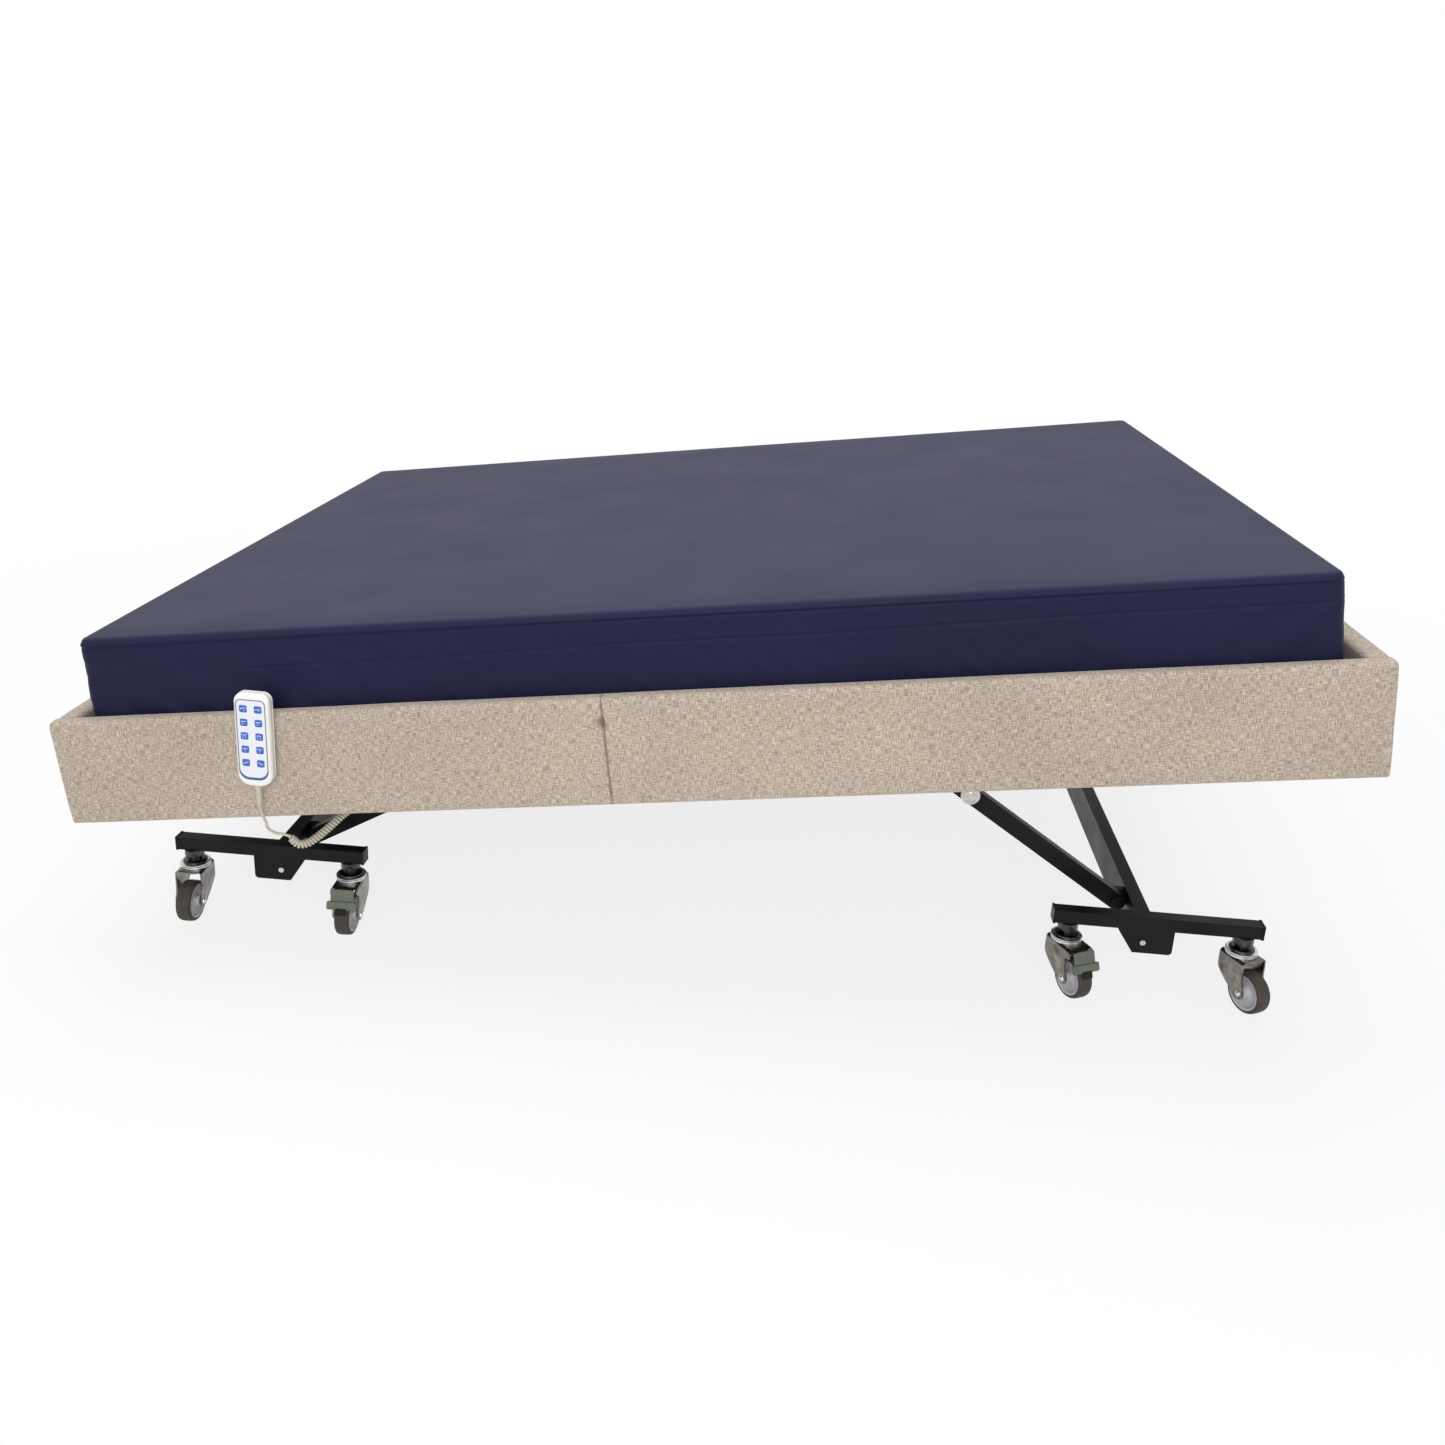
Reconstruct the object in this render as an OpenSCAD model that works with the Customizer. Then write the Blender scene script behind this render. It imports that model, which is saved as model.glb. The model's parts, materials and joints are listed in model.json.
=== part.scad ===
// Height-adjustable profiling bed base, queen size, with upholstered surround,
// sectioned mattress, four linear motors, eight castors and a wired handset.
// Millimetres. +X runs to the foot end, +Z is up, the floor is Z = 0.
// Deck parts are written in the deck's own frame (u along, v across, w up from
// the bottom edge of the surround) and set into place by in_bed().

/* [Size] */
// outside length of the surround
bed_len = 2168; // [1900:1:2300]
// outside width of the surround
bed_wid = 1590; // [900:1:1900]
// height of the upholstered panels
panel_h = 188; // [120:1:260]
// thickness of the side panels
side_t = 30; // [18:1:60]
// thickness of the end panels
end_t = 36; // [18:1:60]
// top of the mattress above the panels' bottom edge
mattress_top = 322; // [260:1:420]

/* [Lift] */
// length of a lifting arm between its pivots
arm_r = 676; // [500:1:800]
// angle of the head-end arms to the deck
head_arm_deg = 22.1; // [12:0.01:46]
// angle of the foot-end arms to the deck
foot_arm_deg = 41.06; // [12:0.01:46]
// height of the lower arm pivots above the floor
pivot_h = 140; // [110:1:200]

/* [Castors] */
// wheel diameter
wheel_d = 78; // [60:1:110]
// tread width
wheel_wid = 28; // [20:1:34]
// distance of the wheel axle from the swivel axis
trail = 33; // [25:1:45]
// direction the head-end castors trail in
head_yaw = -88; // [-180:1:180]
// direction the foot-end castors trail in
foot_yaw = -63; // [-180:1:180]

/* [Handset] */
// width of the handset
hs_w = 60; // [56:1:90]
// height of the handset
hs_h = 165; // [160:1:220]
// thickness of the handset
hs_t = 24; // [14:1:40]
// button travel allowance behind a button
button_room = 1.3; // [0.5:0.1:3]

/* [Hidden] */
$fn = 48;

// ---- deck frame stations (u, v, w) ----
head_piv_u = 918;
foot_piv_u = 1314;
piv_w = 75;
back_u = 830;
thigh_u = 1090;
knee_u = 1430;
hinge_w = 112;
rail_in = 60;
rail_bot = 42;
rail_top = 92;
bar_low = 92.3;
slat_low = 124;
slat_top = 142;
mat_low = 142.3;
mat_u0 = end_t + 19;
mat_u1 = bed_len - end_t - 25;
mat_r = 20;
mat_gap = 3;
mid_v = bed_wid / 2;
cross_low = 67;
cross_wid = 40;
head_eye_u = head_piv_u - 518;
foot_eye_u = foot_piv_u + 486;
back_eye_u = back_u + 355;
leg_eye_u = thigh_u - 345;
cross_at = [
  end_t + 20, head_eye_u, leg_eye_u, thigh_u - 110, back_eye_u, foot_eye_u,
  bed_len - end_t - 20
];
back_end_u = end_t + 40;
calf_end_u = bed_len - end_t - 48;
slat_pitch = 72;
run_fit = 0.05;
seat_fit = 0.05;

// ---- placing the deck on its arms ----
head_low_u = head_piv_u - arm_r * cos(head_arm_deg);
head_low_w = piv_w - arm_r * sin(head_arm_deg);
foot_low_u = foot_piv_u + arm_r * cos(foot_arm_deg);
foot_low_w = piv_w - arm_r * sin(foot_arm_deg);
tilt = atan2(head_low_w - foot_low_w, foot_low_u - head_low_u);
deck_z = pivot_h - head_low_u * sin(tilt) - head_low_w * cos(tilt);
head_low_x = head_low_u * cos(tilt) - head_low_w * sin(tilt);
foot_low_x = foot_low_u * cos(tilt) - foot_low_w * sin(tilt);

// centre of the whole object in plan
button_out = 1.2;
hs_front = -28;
mid_x = (bed_len * cos(tilt) - panel_h * sin(tilt)) / 2;
mid_y = (bed_wid + hs_front - button_out) / 2;

// ---- lift and profiling levers ----
lift_depth = 105;
lift_k = 107;
lift_mid = 29;
lift_w = piv_w - lift_depth;
head_pin_u = head_piv_u + lift_depth * tan(head_arm_deg - lift_mid);
foot_pin_u = foot_piv_u - lift_depth * tan(foot_arm_deg - lift_mid);
prof_depth = 100;
prof_w = hinge_w - prof_depth;
back_half = 30;
back_k = 108;
back_pin_u = back_u + back_k * back_half * PI / 180;
leg_half = 17.5;
leg_k = 102.5;
leg_pin_u = thigh_u - leg_k * leg_half * PI / 180;
back_v = 620;
leg_v = 970;
lever_t = 12;
lever_wid = 34;
slot_wid = 14;
pin_r = 5;
rod_r = 10;

// ---- bogies ----
beam_off = 55;
beam_half = 181;
beam_v = 200;
beam_dep = 25;
beam_z0 = 135;
beam_z1 = 160;
cross_off = 24;
cross_t = 26;
cross_z0 = 92;
arm_v = 285;
arm_t = 20;
arm_h = 32;
lug_gap = 1;
lug_t = 12;
arm_pin_r = 8;
castor_s = 155;
castor_v = beam_v + beam_dep / 2;
head_beam_x = head_low_x - beam_off;
foot_beam_x = foot_low_x + beam_off;

// ---- castors ----
king_r = 8;
crown_r = 28;
crown_z0 = 98;
crown_z1 = 104.5;
fork_in = 20;
fork_t = 3;
fork_rear = -23;
fork_front = 34;
axle_r = 4;
rim_r = 32;
tread_round = 5;
pedal_t = 42;
pedal_z = 91;
pedal_pin_r = 3;
pedal_slope = 70;

// ---- handset ----
hs_x = 352;
hs_z0 = 395;
hs_r = 18;
hs_lean = 1;
pad_w = 50;
pad_h = 143;
pad_t = 1.2;
pad_low = 13;
pad_r = 12;
key_w = 13.5;
key_h = 13.5;
key_r = 3;
key_d = 5;
key_dx = 25;
key_dz = 24;
key_z0 = hs_z0 + 43.5;

// ---- colours ----
c_fabric = [0.78, 0.72, 0.64];
c_cover = [0.2, 0.2, 0.36];
c_black = [0.1, 0.1, 0.1];
c_zinc = [0.72, 0.75, 0.77];
c_tyre = [0.25, 0.23, 0.2];
c_pedal = [0.4, 0.43, 0.38];
c_white = [0.94, 0.94, 0.92];
c_blue = [0.22, 0.36, 0.7];
c_grey = [0.5, 0.5, 0.5];

// ==== placing helpers ====
module in_bed() {
  translate([-mid_x, -mid_y, deck_z])
    rotate([0, -tilt, 0])
      children();
}

module on_floor() {
  translate([-mid_x, -mid_y, 0])
    children();
}

// mirror image of the children across the bed's centre plane, as well as them
module both_sides() {
  children();
  translate([0, bed_wid, 0])
    mirror([0, 1, 0])
      children();
}

// box from one corner to the other
module box(a, b) {
  translate(a)
    cube(b - a);
}

// round bar along v
module bar_v(u, w, r, v0, v1) {
  translate([u, v0, w])
    rotate([-90, 0, 0])
      cylinder(r = r, h = v1 - v0);
}

// flat plate in the u-w plane from a 2D outline, v0 to v1
module plate_v(v0, v1) {
  translate([0, v1, 0])
    rotate([90, 0, 0])
      linear_extrude(v1 - v0)
        children();
}

// rectangle with round corners, by true arcs
module round_rect(x0, y0, x1, y1, r) {
  translate([x0 + r, y0])
    square([x1 - x0 - 2 * r, y1 - y0]);
  translate([x0, y0 + r])
    square([x1 - x0, y1 - y0 - 2 * r]);
  for (x = [x0 + r, x1 - r], y = [y0 + r, y1 - r])
    translate([x, y])
      circle(r = r);
}

// ==== upholstered surround ====
module panel_outline(t, r) {
  translate([0, 0])
    square([t, panel_h - r]);
  translate([r, 0])
    square([t - 2 * r, panel_h]);
  for (x = [r, t - r])
    translate([x, panel_h - r])
      circle(r = r);
}

module side_panel() {
  translate([0, 0, 0])
    rotate([90, 0, 90])
      linear_extrude(bed_len)
        panel_outline(side_t, 9);
}

module end_panel() {
  translate([0, bed_wid - side_t, 0])
    rotate([90, 0, 0])
      linear_extrude(bed_wid - 2 * side_t)
        panel_outline(end_t, 9);
}

module surround_near() {
  color(c_fabric)
    in_bed()
      side_panel();
}

module surround_far() {
  color(c_fabric)
    in_bed()
      translate([0, bed_wid, 0])
        mirror([0, 1, 0])
          side_panel();
}

module surround_head() {
  color(c_fabric)
    in_bed()
      end_panel();
}

module surround_foot() {
  color(c_fabric)
    in_bed()
      translate([bed_len - end_t, 0, 0])
        end_panel();
}

// ==== chassis ====
module rail() {
  difference() {
    box([end_t, side_t, rail_bot], [bed_len - end_t, rail_in, rail_top]);
    box([end_t - 1, side_t + 3, rail_bot + 3], [bed_len - end_t + 1, rail_in - 3, rail_top - 3]);
  }
}

module crossbar(u) {
  difference() {
    box([u - cross_wid / 2, rail_in, cross_low], [u + cross_wid / 2, bed_wid - rail_in, rail_top]);
    box([u - cross_wid / 2 + 3, rail_in + 1, cross_low - 1],
        [u + cross_wid / 2 - 3, bed_wid - rail_in - 1, rail_top - 3]);
  }
}

// ear on the rail that a deck section's stub pin turns in
module hinge_ear(u) {
  plate_v(rail_in, rail_in + 8)
    difference() {
      union() {
        translate([u - 14, rail_bot])
          square([28, hinge_w - 10 - rail_bot]);
        translate([u - 10, rail_bot])
          square([20, hinge_w - rail_bot]);
        translate([u, hinge_w])
          circle(r = 10);
      }
      translate([u, hinge_w])
        circle(r = 6 + run_fit);
    }
}

// bearing plate under the rail for a torque tube
module bearing(u) {
  plate_v(rail_in, rail_in + 8)
    difference() {
      union() {
        translate([u - 28, piv_w])
          square([56, rail_top - piv_w]);
        translate([u, piv_w])
          circle(r = 28);
      }
      translate([u, piv_w])
        circle(r = 16 + run_fit);
    }
}

// pair of cheeks under a crossbar that holds the back eye of a motor
module motor_bracket(u, v, w) {
  for (s = [-1, 1])
    plate_v(v + s * 12.5 - 2.5, v + s * 12.5 + 2.5)
      difference() {
        union() {
          translate([u - 20, cross_low - 2])
            square([40, 4]);
          translate([u - 14, w])
            square([28, cross_low - w]);
          translate([u, w])
            circle(r = 14);
        }
        translate([u, w])
          circle(r = 6 + run_fit);
      }
}

module chassis_frame() {
  color(c_black)
    in_bed() {
      union() {
        both_sides() {
          rail();
          hinge_ear(back_u);
          hinge_ear(thigh_u);
          bearing(head_piv_u);
          bearing(foot_piv_u);
        }
        for (u = cross_at)
          crossbar(u);
        motor_bracket(head_eye_u, mid_v, lift_w);
        motor_bracket(foot_eye_u, mid_v, lift_w);
        motor_bracket(back_eye_u, back_v, prof_w);
        motor_bracket(leg_eye_u, leg_v, prof_w);
      }
    }
}

// ==== mattress deck sections ====
// slats evenly set from the first one's start to the last one's end
module slats(first, last, wid, count) {
  step = (last - wid - first) / (count - 1);
  for (i = [0:count - 1])
    box([first + i * step, side_t + 5, slat_low],
        [first + i * step + wid, bed_wid - side_t - 5, slat_top]);
}

module seat_deck() {
  color(c_grey)
    in_bed()
      union() {
        both_sides()
          box([back_u + 16, side_t + 3, rail_top], [thigh_u - 16, side_t + 28, slat_low]);
        slats(back_u + 32, thigh_u - 32, 60, 3);
      }
}

// slotted lever hanging from a turning tube at the origin of u-w
module lever_outline(depth, reach) {
  difference() {
    union() {
      circle(r = 22);
      translate([-lever_wid / 2, -reach])
        square([lever_wid, reach]);
      translate([0, -reach])
        circle(r = lever_wid / 2);
    }
    translate([0, -depth])
      circle(r = slot_wid / 2);
    translate([-slot_wid / 2, -reach])
      square([slot_wid, reach - depth]);
    translate([0, -reach])
      circle(r = slot_wid / 2);
  }
}

module lever(u, w, v, turn, depth, reach) {
  translate([u, v + lever_t / 2, w])
    rotate([0, turn, 0])
      rotate([90, 0, 0])
        linear_extrude(lever_t)
          lever_outline(depth, reach);
}

// tube with stub pins that a section turns on
module hinge_tube(u, v0, pin_v) {
  bar_v(u, hinge_w, 12, v0, bed_wid - v0);
  bar_v(u, hinge_w, 6, pin_v, bed_wid - pin_v);
}

module back_deck() {
  color(c_grey)
    in_bed()
      union() {
        both_sides()
          box([back_end_u, 72, bar_low], [back_u, 97, slat_low]);
        slats(back_end_u, back_u - 58, 48, 10);
        hinge_tube(back_u, 72, rail_in + 0.5);
        lever(back_u, hinge_w, back_v, -back_half, prof_depth, prof_depth + 16);
      }
}

module thigh_deck() {
  color(c_grey)
    in_bed()
      difference() {
        union() {
          both_sides() {
            box([thigh_u, 72, bar_low], [knee_u, 97, slat_low]);
            bar_v(knee_u, hinge_w, 15.8, 72, 97);
          }
          slats(thigh_u + 32, knee_u - 34, 52, 4);
          hinge_tube(thigh_u, 72, rail_in + 0.5);
          lever(thigh_u, hinge_w, leg_v, leg_half, prof_depth, prof_depth + 8);
        }
        both_sides()
          bar_v(knee_u, hinge_w, 6 + run_fit, 70, 98);
        box([knee_u, 71, bar_low - 5], [knee_u + 20, 98, hinge_w - 15.8]);
      }
}

module calf_deck() {
  color(c_grey)
    in_bed()
      union() {
        both_sides() {
          box([knee_u, 99, bar_low], [calf_end_u, 124, slat_low]);
          bar_v(calf_end_u, 104.4, 12, 33, 58);
        }
        slats(knee_u + 34, calf_end_u + 4, 48, 1 + floor((calf_end_u - 78 - knee_u) / slat_pitch));
        hinge_tube(knee_u, 98, 71);
        bar_v(calf_end_u, 104.4, 8, 33, bed_wid - 33);
      }
}

// ==== mattress ====
module mattress_outline(u0, u1, r0, r1) {
  v0 = side_t + mat_gap;
  v1 = bed_wid - side_t - mat_gap;
  translate([u0 + r0, v0])
    square([u1 - u0 - r0 - r1, v1 - v0]);
  if (r0 > 0) {
    translate([u0, v0 + r0])
      square([r0, v1 - v0 - 2 * r0]);
    for (v = [v0 + r0, v1 - r0])
      translate([u0 + r0, v])
        circle(r = r0);
  }
  if (r1 > 0) {
    translate([u1 - r1, v0 + r1])
      square([r1, v1 - v0 - 2 * r1]);
    for (v = [v0 + r1, v1 - r1])
      translate([u1 - r1, v])
        circle(r = r1);
  }
}

// wedge taken out beside a fold so that the sections close on each other
module fold_wedge(u, deg, dir) {
  translate([u, 0, hinge_w])
    rotate([0, dir * deg, 0])
      translate([dir > 0 ? -400 : 0, -10, -100])
        cube([400, bed_wid + 20, 600]);
}

module mattress_block(u0, u1, r0, r1) {
  translate([0, 0, mat_low])
    linear_extrude(mattress_top - mat_low)
      mattress_outline(u0, u1, r0, r1);
}

module back_mattress() {
  color(c_cover)
    in_bed()
      difference() {
        mattress_block(mat_u0, back_u, mat_r, 0);
        fold_wedge(back_u, 30.6, -1);
      }
}

module seat_mattress() {
  color(c_cover)
    in_bed()
      difference() {
        mattress_block(back_u, thigh_u, 0, 0);
        fold_wedge(back_u, 30.6, 1);
        fold_wedge(thigh_u, 18, -1);
      }
}

module thigh_mattress() {
  color(c_cover)
    in_bed()
      difference() {
        mattress_block(thigh_u, knee_u - 0.4, 0, 0);
        fold_wedge(thigh_u, 18, 1);
      }
}

module calf_mattress() {
  color(c_cover)
    in_bed()
      mattress_block(knee_u + 0.4, mat_u1, 0, mat_r);
}

// ==== linear motors ====
// rod with its forked end; dir is the way it leaves the fork
module rod(pin_u, v, w, dir, len) {
  translate([pin_u, v, w])
    mirror([dir < 0 ? 1 : 0, 0, 0])
      union() {
        for (s = [-1, 1])
          plate_v(s * 9 - 2, s * 9 + 2) {
            circle(r = 9);
            translate([0, -9])
              square([42, 18]);
          }
        box([32, -11, -9], [42, 11, 9]);
        bar_v(0, 0, pin_r, -14, 14);
        translate([41, 0, 0])
          rotate([0, 90, 0])
            cylinder(r = rod_r, h = len);
      }
}

// housing: guide tube with a blind bore, gear case, motor, back eye
module housing(eye_u, mouth_u, bore_u, v, w, dir) {
  translate([eye_u, v, w])
    mirror([dir < 0 ? 1 : 0, 0, 0])
      difference() {
        union() {
          plate_v(-10, 10) {
            circle(r = 12);
            translate([0, -12])
              square([26, 24]);
          }
          bar_v(0, 0, 6, -17, 17);
          box([22, -26, -22], [78, 30, 26]);
          bar_v(50, 2, 24, 30, 150);
          bar_v(50, 2, 20, 150, 158);
          translate([70, 0, 0])
            rotate([0, 90, 0])
              cylinder(r = 20, h = abs(mouth_u - eye_u) - 70);
        }
        translate([abs(bore_u - eye_u), 0, 0])
          rotate([0, 90, 0])
            cylinder(r = rod_r + run_fit, h = abs(mouth_u - bore_u) + 1);
      }
}

module actuator_housings() {
  color(c_grey)
    in_bed() {
      housing(head_eye_u, head_piv_u - 108, head_piv_u - 440, mid_v, lift_w, 1);
      housing(foot_eye_u, foot_piv_u + 86, foot_piv_u + 408, mid_v, lift_w, -1);
      housing(back_eye_u, back_u + 115, back_u + 277, back_v, prof_w, -1);
      housing(leg_eye_u, thigh_u - 100, thigh_u - 267, leg_v, prof_w, 1);
    }
}

module head_lift_rod() {
  color(c_zinc)
    in_bed()
      rod(head_pin_u, mid_v, lift_w, -1, 350);
}

module foot_lift_rod() {
  color(c_zinc)
    in_bed()
      rod(foot_pin_u, mid_v, lift_w, 1, 320);
}

module back_rod() {
  color(c_zinc)
    in_bed()
      rod(back_pin_u, back_v, prof_w, 1, 150);
}

module leg_rod() {
  color(c_zinc)
    in_bed()
      rod(leg_pin_u, leg_v, prof_w, -1, 170);
}

// ==== lifting arms ====
module arm_outline() {
  difference() {
    union() {
      circle(r = 24);
      translate([0, -arm_h / 2])
        square([arm_r, arm_h]);
      translate([arm_r, 0])
        circle(r = arm_h / 2);
    }
    translate([arm_r, 0])
      circle(r = arm_pin_r + run_fit);
  }
}

// arm and its round cover disc, turned so the arm leaves the pivot at turn
module arm_pair(piv_u, turn) {
  translate([piv_u, 0, piv_w])
    rotate([0, turn, 0]) {
      union() {
        both_sides()
          plate_v(arm_v, arm_v + arm_t)
            arm_outline();
        bar_v(0, 0, 16, rail_in + 0.4, bed_wid - rail_in - 0.4);
      }
      both_sides()
        bar_v(arm_r - 349, 0, 17.5, arm_v - 3 - seat_fit, arm_v - seat_fit);
    }
}

module head_arms() {
  color(c_black)
    in_bed() {
      arm_pair(head_piv_u, 180 - head_arm_deg);
      lever(head_piv_u, piv_w, mid_v, lift_mid - head_arm_deg, lift_depth, lift_depth + 5);
    }
}

module foot_arms() {
  color(c_black)
    in_bed() {
      arm_pair(foot_piv_u, foot_arm_deg);
      lever(foot_piv_u, piv_w, mid_v, foot_arm_deg - lift_mid, lift_depth, lift_depth + 5);
    }
}

// ==== bogies ====
// side: +1 foot end, -1 head end; s is measured outboard from the beam centre
module at_bogie(x, side) {
  on_floor()
    translate([x, 0, 0])
      mirror([side < 0 ? 1 : 0, 0, 0])
        children();
}

// square beam with its bracket plate and slanting ribs under it
module beam() {
  box([-beam_half, beam_v, beam_z0], [beam_half, beam_v + beam_dep, beam_z1]);
  plate_v(beam_v, beam_v + 5)
    union() {
      polygon([[-70, beam_z0 + 1], [-67, 130], [-39, 88], [24, 88], [31, 96], [31, beam_z0 + 1]]);
      translate([24, 95])
        circle(r = 7);
    }
  for (s = [-58, -34, -10])
    translate([s, beam_v + 20, 0])
      rotate([90, 0, 0])
        linear_extrude(16)
          polygon([[0, beam_z0 + 1], [4, beam_z0 + 1], [27, 92], [23, 92]]);
}

// lug on the cross tube's side for the arm's pivot pin
module lug() {
  plate_v(arm_v + arm_t + lug_gap, arm_v + arm_t + lug_gap + lug_t)
    difference() {
      union() {
        translate([-beam_off, pivot_h - 16])
          square([beam_off - cross_off - cross_t / 2 - seat_fit, 32]);
        translate([-beam_off, pivot_h])
          circle(r = 16);
      }
      translate([-beam_off, pivot_h])
        circle(r = arm_pin_r + run_fit);
    }
}

// channel from beam to beam, open underneath
module cross_tube() {
  v0 = beam_v + beam_dep + seat_fit;
  v1 = bed_wid - v0;
  difference() {
    box([-cross_off - cross_t / 2, v0, cross_z0], [-cross_off + cross_t / 2, v1, beam_z1]);
    box([-cross_off - cross_t / 2 + 3, v0 + 3, cross_z0 - 1],
        [-cross_off + cross_t / 2 - 3, v1 - 3, beam_z1 - 3]);
  }
}

module bogie() {
  cross_tube();
  both_sides() {
    union()
      beam();
    lug();
    for (s = [-1, 1])
      translate([s > 0 ? beam_half + seat_fit : -beam_half - seat_fit - 4, beam_v - 1, beam_z0 - 1])
        cube([4, beam_dep + 2, beam_z1 - beam_z0 + 2]);
  }
}

// king pin of one castor: washer, shank, race ring, hexagon, stem
module king_pin() {
  translate([0, 0, crown_z0 - 6.7])
    cylinder(r = 13, h = 6.4);
  translate([0, 0, crown_z0 - 6])
    cylinder(r = king_r, h = 14);
  translate([0, 0, crown_z1 + 0.3])
    cylinder(r = crown_r, h = 4);
  translate([0, 0, crown_z1 + 4])
    cylinder(r = 22, h = 4);
  translate([0, 0, crown_z1 + 7])
    cylinder(r = 13, h = 8, $fn = 6);
  translate([0, 0, crown_z1 + 14])
    cylinder(r = 10, h = beam_z0 - crown_z1 - 14);
}

module bogie_bolts() {
  both_sides() {
    for (s = [-1, 1])
      translate([s * castor_s, castor_v, 0])
        king_pin();
    // arm pivot pin, head on the outside of the arm, nut inside the lug
    bar_v(-beam_off, pivot_h, 12, arm_v - 6.5, arm_v - 0.5);
    bar_v(-beam_off, pivot_h, arm_pin_r, arm_v - 1, arm_v + arm_t + lug_gap + lug_t + 1);
    translate([-beam_off, arm_v + arm_t + lug_gap + lug_t, pivot_h])
      rotate([-90, 0, 0])
        cylinder(r = 13, h = 7, $fn = 6);
    // bracket bolt
    bar_v(-cross_off, 98, 8, beam_v - 6, beam_v);
  }
}

module head_bogie() {
  color(c_black)
    at_bogie(head_beam_x, -1)
      bogie();
}

module foot_bogie() {
  color(c_black)
    at_bogie(foot_beam_x, 1)
      bogie();
}

module head_bogie_bolts() {
  color(c_zinc)
    at_bogie(head_beam_x, -1)
      bogie_bolts();
}

module foot_bogie_bolts() {
  color(c_zinc)
    at_bogie(foot_beam_x, 1)
      bogie_bolts();
}

// ==== castors ====
// 1-4 at the head end, 5-8 at the foot end; odd outboard, even inboard;
// 1, 2, 5, 6 on the near side
function castor_x(i) =
  (i <= 4 ? head_beam_x : foot_beam_x)
  + castor_s * (i <= 4 ? (i % 2 == 1 ? -1 : 1) : (i % 2 == 1 ? 1 : -1));
function castor_y(i) =
  (i - 1) % 4 < 2 ? castor_v : bed_wid - castor_v;

module at_castor(i) {
  on_floor()
    translate([castor_x(i), castor_y(i), 0])
      rotate([0, 0, i <= 4 ? head_yaw : foot_yaw])
        children();
}

module cheek_outline() {
  difference() {
    union() {
      polygon([
        [fork_rear, crown_z0 - 1], [fork_front, crown_z0 - 1], [fork_front + 2, 60],
        [trail + 10, wheel_d / 2], [trail - 7, wheel_d / 2 - 8], [-12, 55], [fork_rear + 1, 72]
      ]);
      translate([trail, wheel_d / 2])
        circle(r = 10);
    }
    translate([trail, wheel_d / 2])
      circle(r = axle_r + run_fit);
  }
}

module pedal_ear() {
  difference() {
    union() {
      translate([fork_front - 4, pedal_z - 6])
        square([pedal_t - fork_front + 4, 12]);
      translate([pedal_t, pedal_z])
        circle(r = 6);
    }
    translate([pedal_t, pedal_z])
      circle(r = pedal_pin_r + run_fit);
  }
}

module castor_fork(i, braked) {
  r_wheel = wheel_d / 2;
  at_castor(i) {
    union() {
      difference() {
        union() {
          translate([0, 0, crown_z0])
            cylinder(r = crown_r, h = crown_z1 - crown_z0);
          box([fork_rear, -fork_in - fork_t, crown_z0 - 3], [fork_front, fork_in + fork_t, crown_z0 + 0.5]);
        }
        translate([0, 0, crown_z0 - 1])
          cylinder(r = king_r + run_fit, h = 12);
        translate([0, 0, crown_z0 - 10])
          cylinder(r = 13.5, h = 10);
      }
      for (s = [-1, 1])
        plate_v(s * (fork_in + fork_t / 2) - fork_t / 2, s * (fork_in + fork_t / 2) + fork_t / 2) {
          cheek_outline();
          if (braked)
            pedal_ear();
        }
    }
    // axle bolt with a nut at each end
    bar_v(trail, r_wheel, axle_r, -fork_in - fork_t - 6, fork_in + fork_t + 6);
    for (s = [-1, 1])
      translate([trail, s > 0 ? fork_in + fork_t + seat_fit : -fork_in - fork_t - seat_fit - 4, r_wheel])
        rotate([-90, 0, 0])
          cylinder(r = 6.5, h = 4, $fn = 6);
  }
}

module tyre_profile() {
  difference() {
    union() {
      translate([rim_r, -wheel_wid / 2])
        square([wheel_d / 2 - rim_r - tread_round, wheel_wid]);
      translate([rim_r, -wheel_wid / 2 + tread_round])
        square([wheel_d / 2 - rim_r, wheel_wid - 2 * tread_round]);
      for (s = [-1, 1])
        translate([wheel_d / 2 - tread_round, s * (wheel_wid / 2 - tread_round)])
          circle(r = tread_round);
    }
    translate([0, -wheel_wid])
      square([rim_r, 2 * wheel_wid]);
  }
}

// hub as long as the fork is wide inside, web, outer ring under the tyre
module rim_profile() {
  translate([axle_r + run_fit, -fork_in + 0.8])
    square([7, 2 * fork_in - 1.6]);
  translate([axle_r + run_fit, -wheel_wid / 2 + 6])
    square([rim_r - 2 - axle_r, wheel_wid - 12]);
  translate([rim_r - 5, -wheel_wid / 2 + 1])
    square([5 - seat_fit, wheel_wid - 2]);
}

module castor_wheel(i) {
  at_castor(i)
    translate([trail, 0, wheel_d / 2])
      rotate([90, 0, 0]) {
        rotate_extrude()
          tyre_profile();
        rotate_extrude()
          union()
            rim_profile();
      }
}

// pedal plate hinged on the fork's ears; rest is brake on
module brake_pedal(i) {
  at_castor(i)
    union() {
      bar_v(pedal_t, pedal_z, 4.5, -fork_in + 0.6, fork_in - 0.6);
      bar_v(pedal_t, pedal_z, pedal_pin_r, -fork_in - fork_t - 1, fork_in + fork_t + 1);
      translate([pedal_t, 0, pedal_z])
        rotate([0, pedal_slope, 0]) {
          // web, upper plate, wider lower lip, block over the tread
          box([-4, -15, 0], [4, 15, 11.5]);
          box([-6, -22, 10.5], [20, 22, 13.5]);
          box([16, -28, 11], [32, 28, 16.5]);
          box([28, -10, 14.5], [42, 10, 18]);
        }
    }
}

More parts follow.
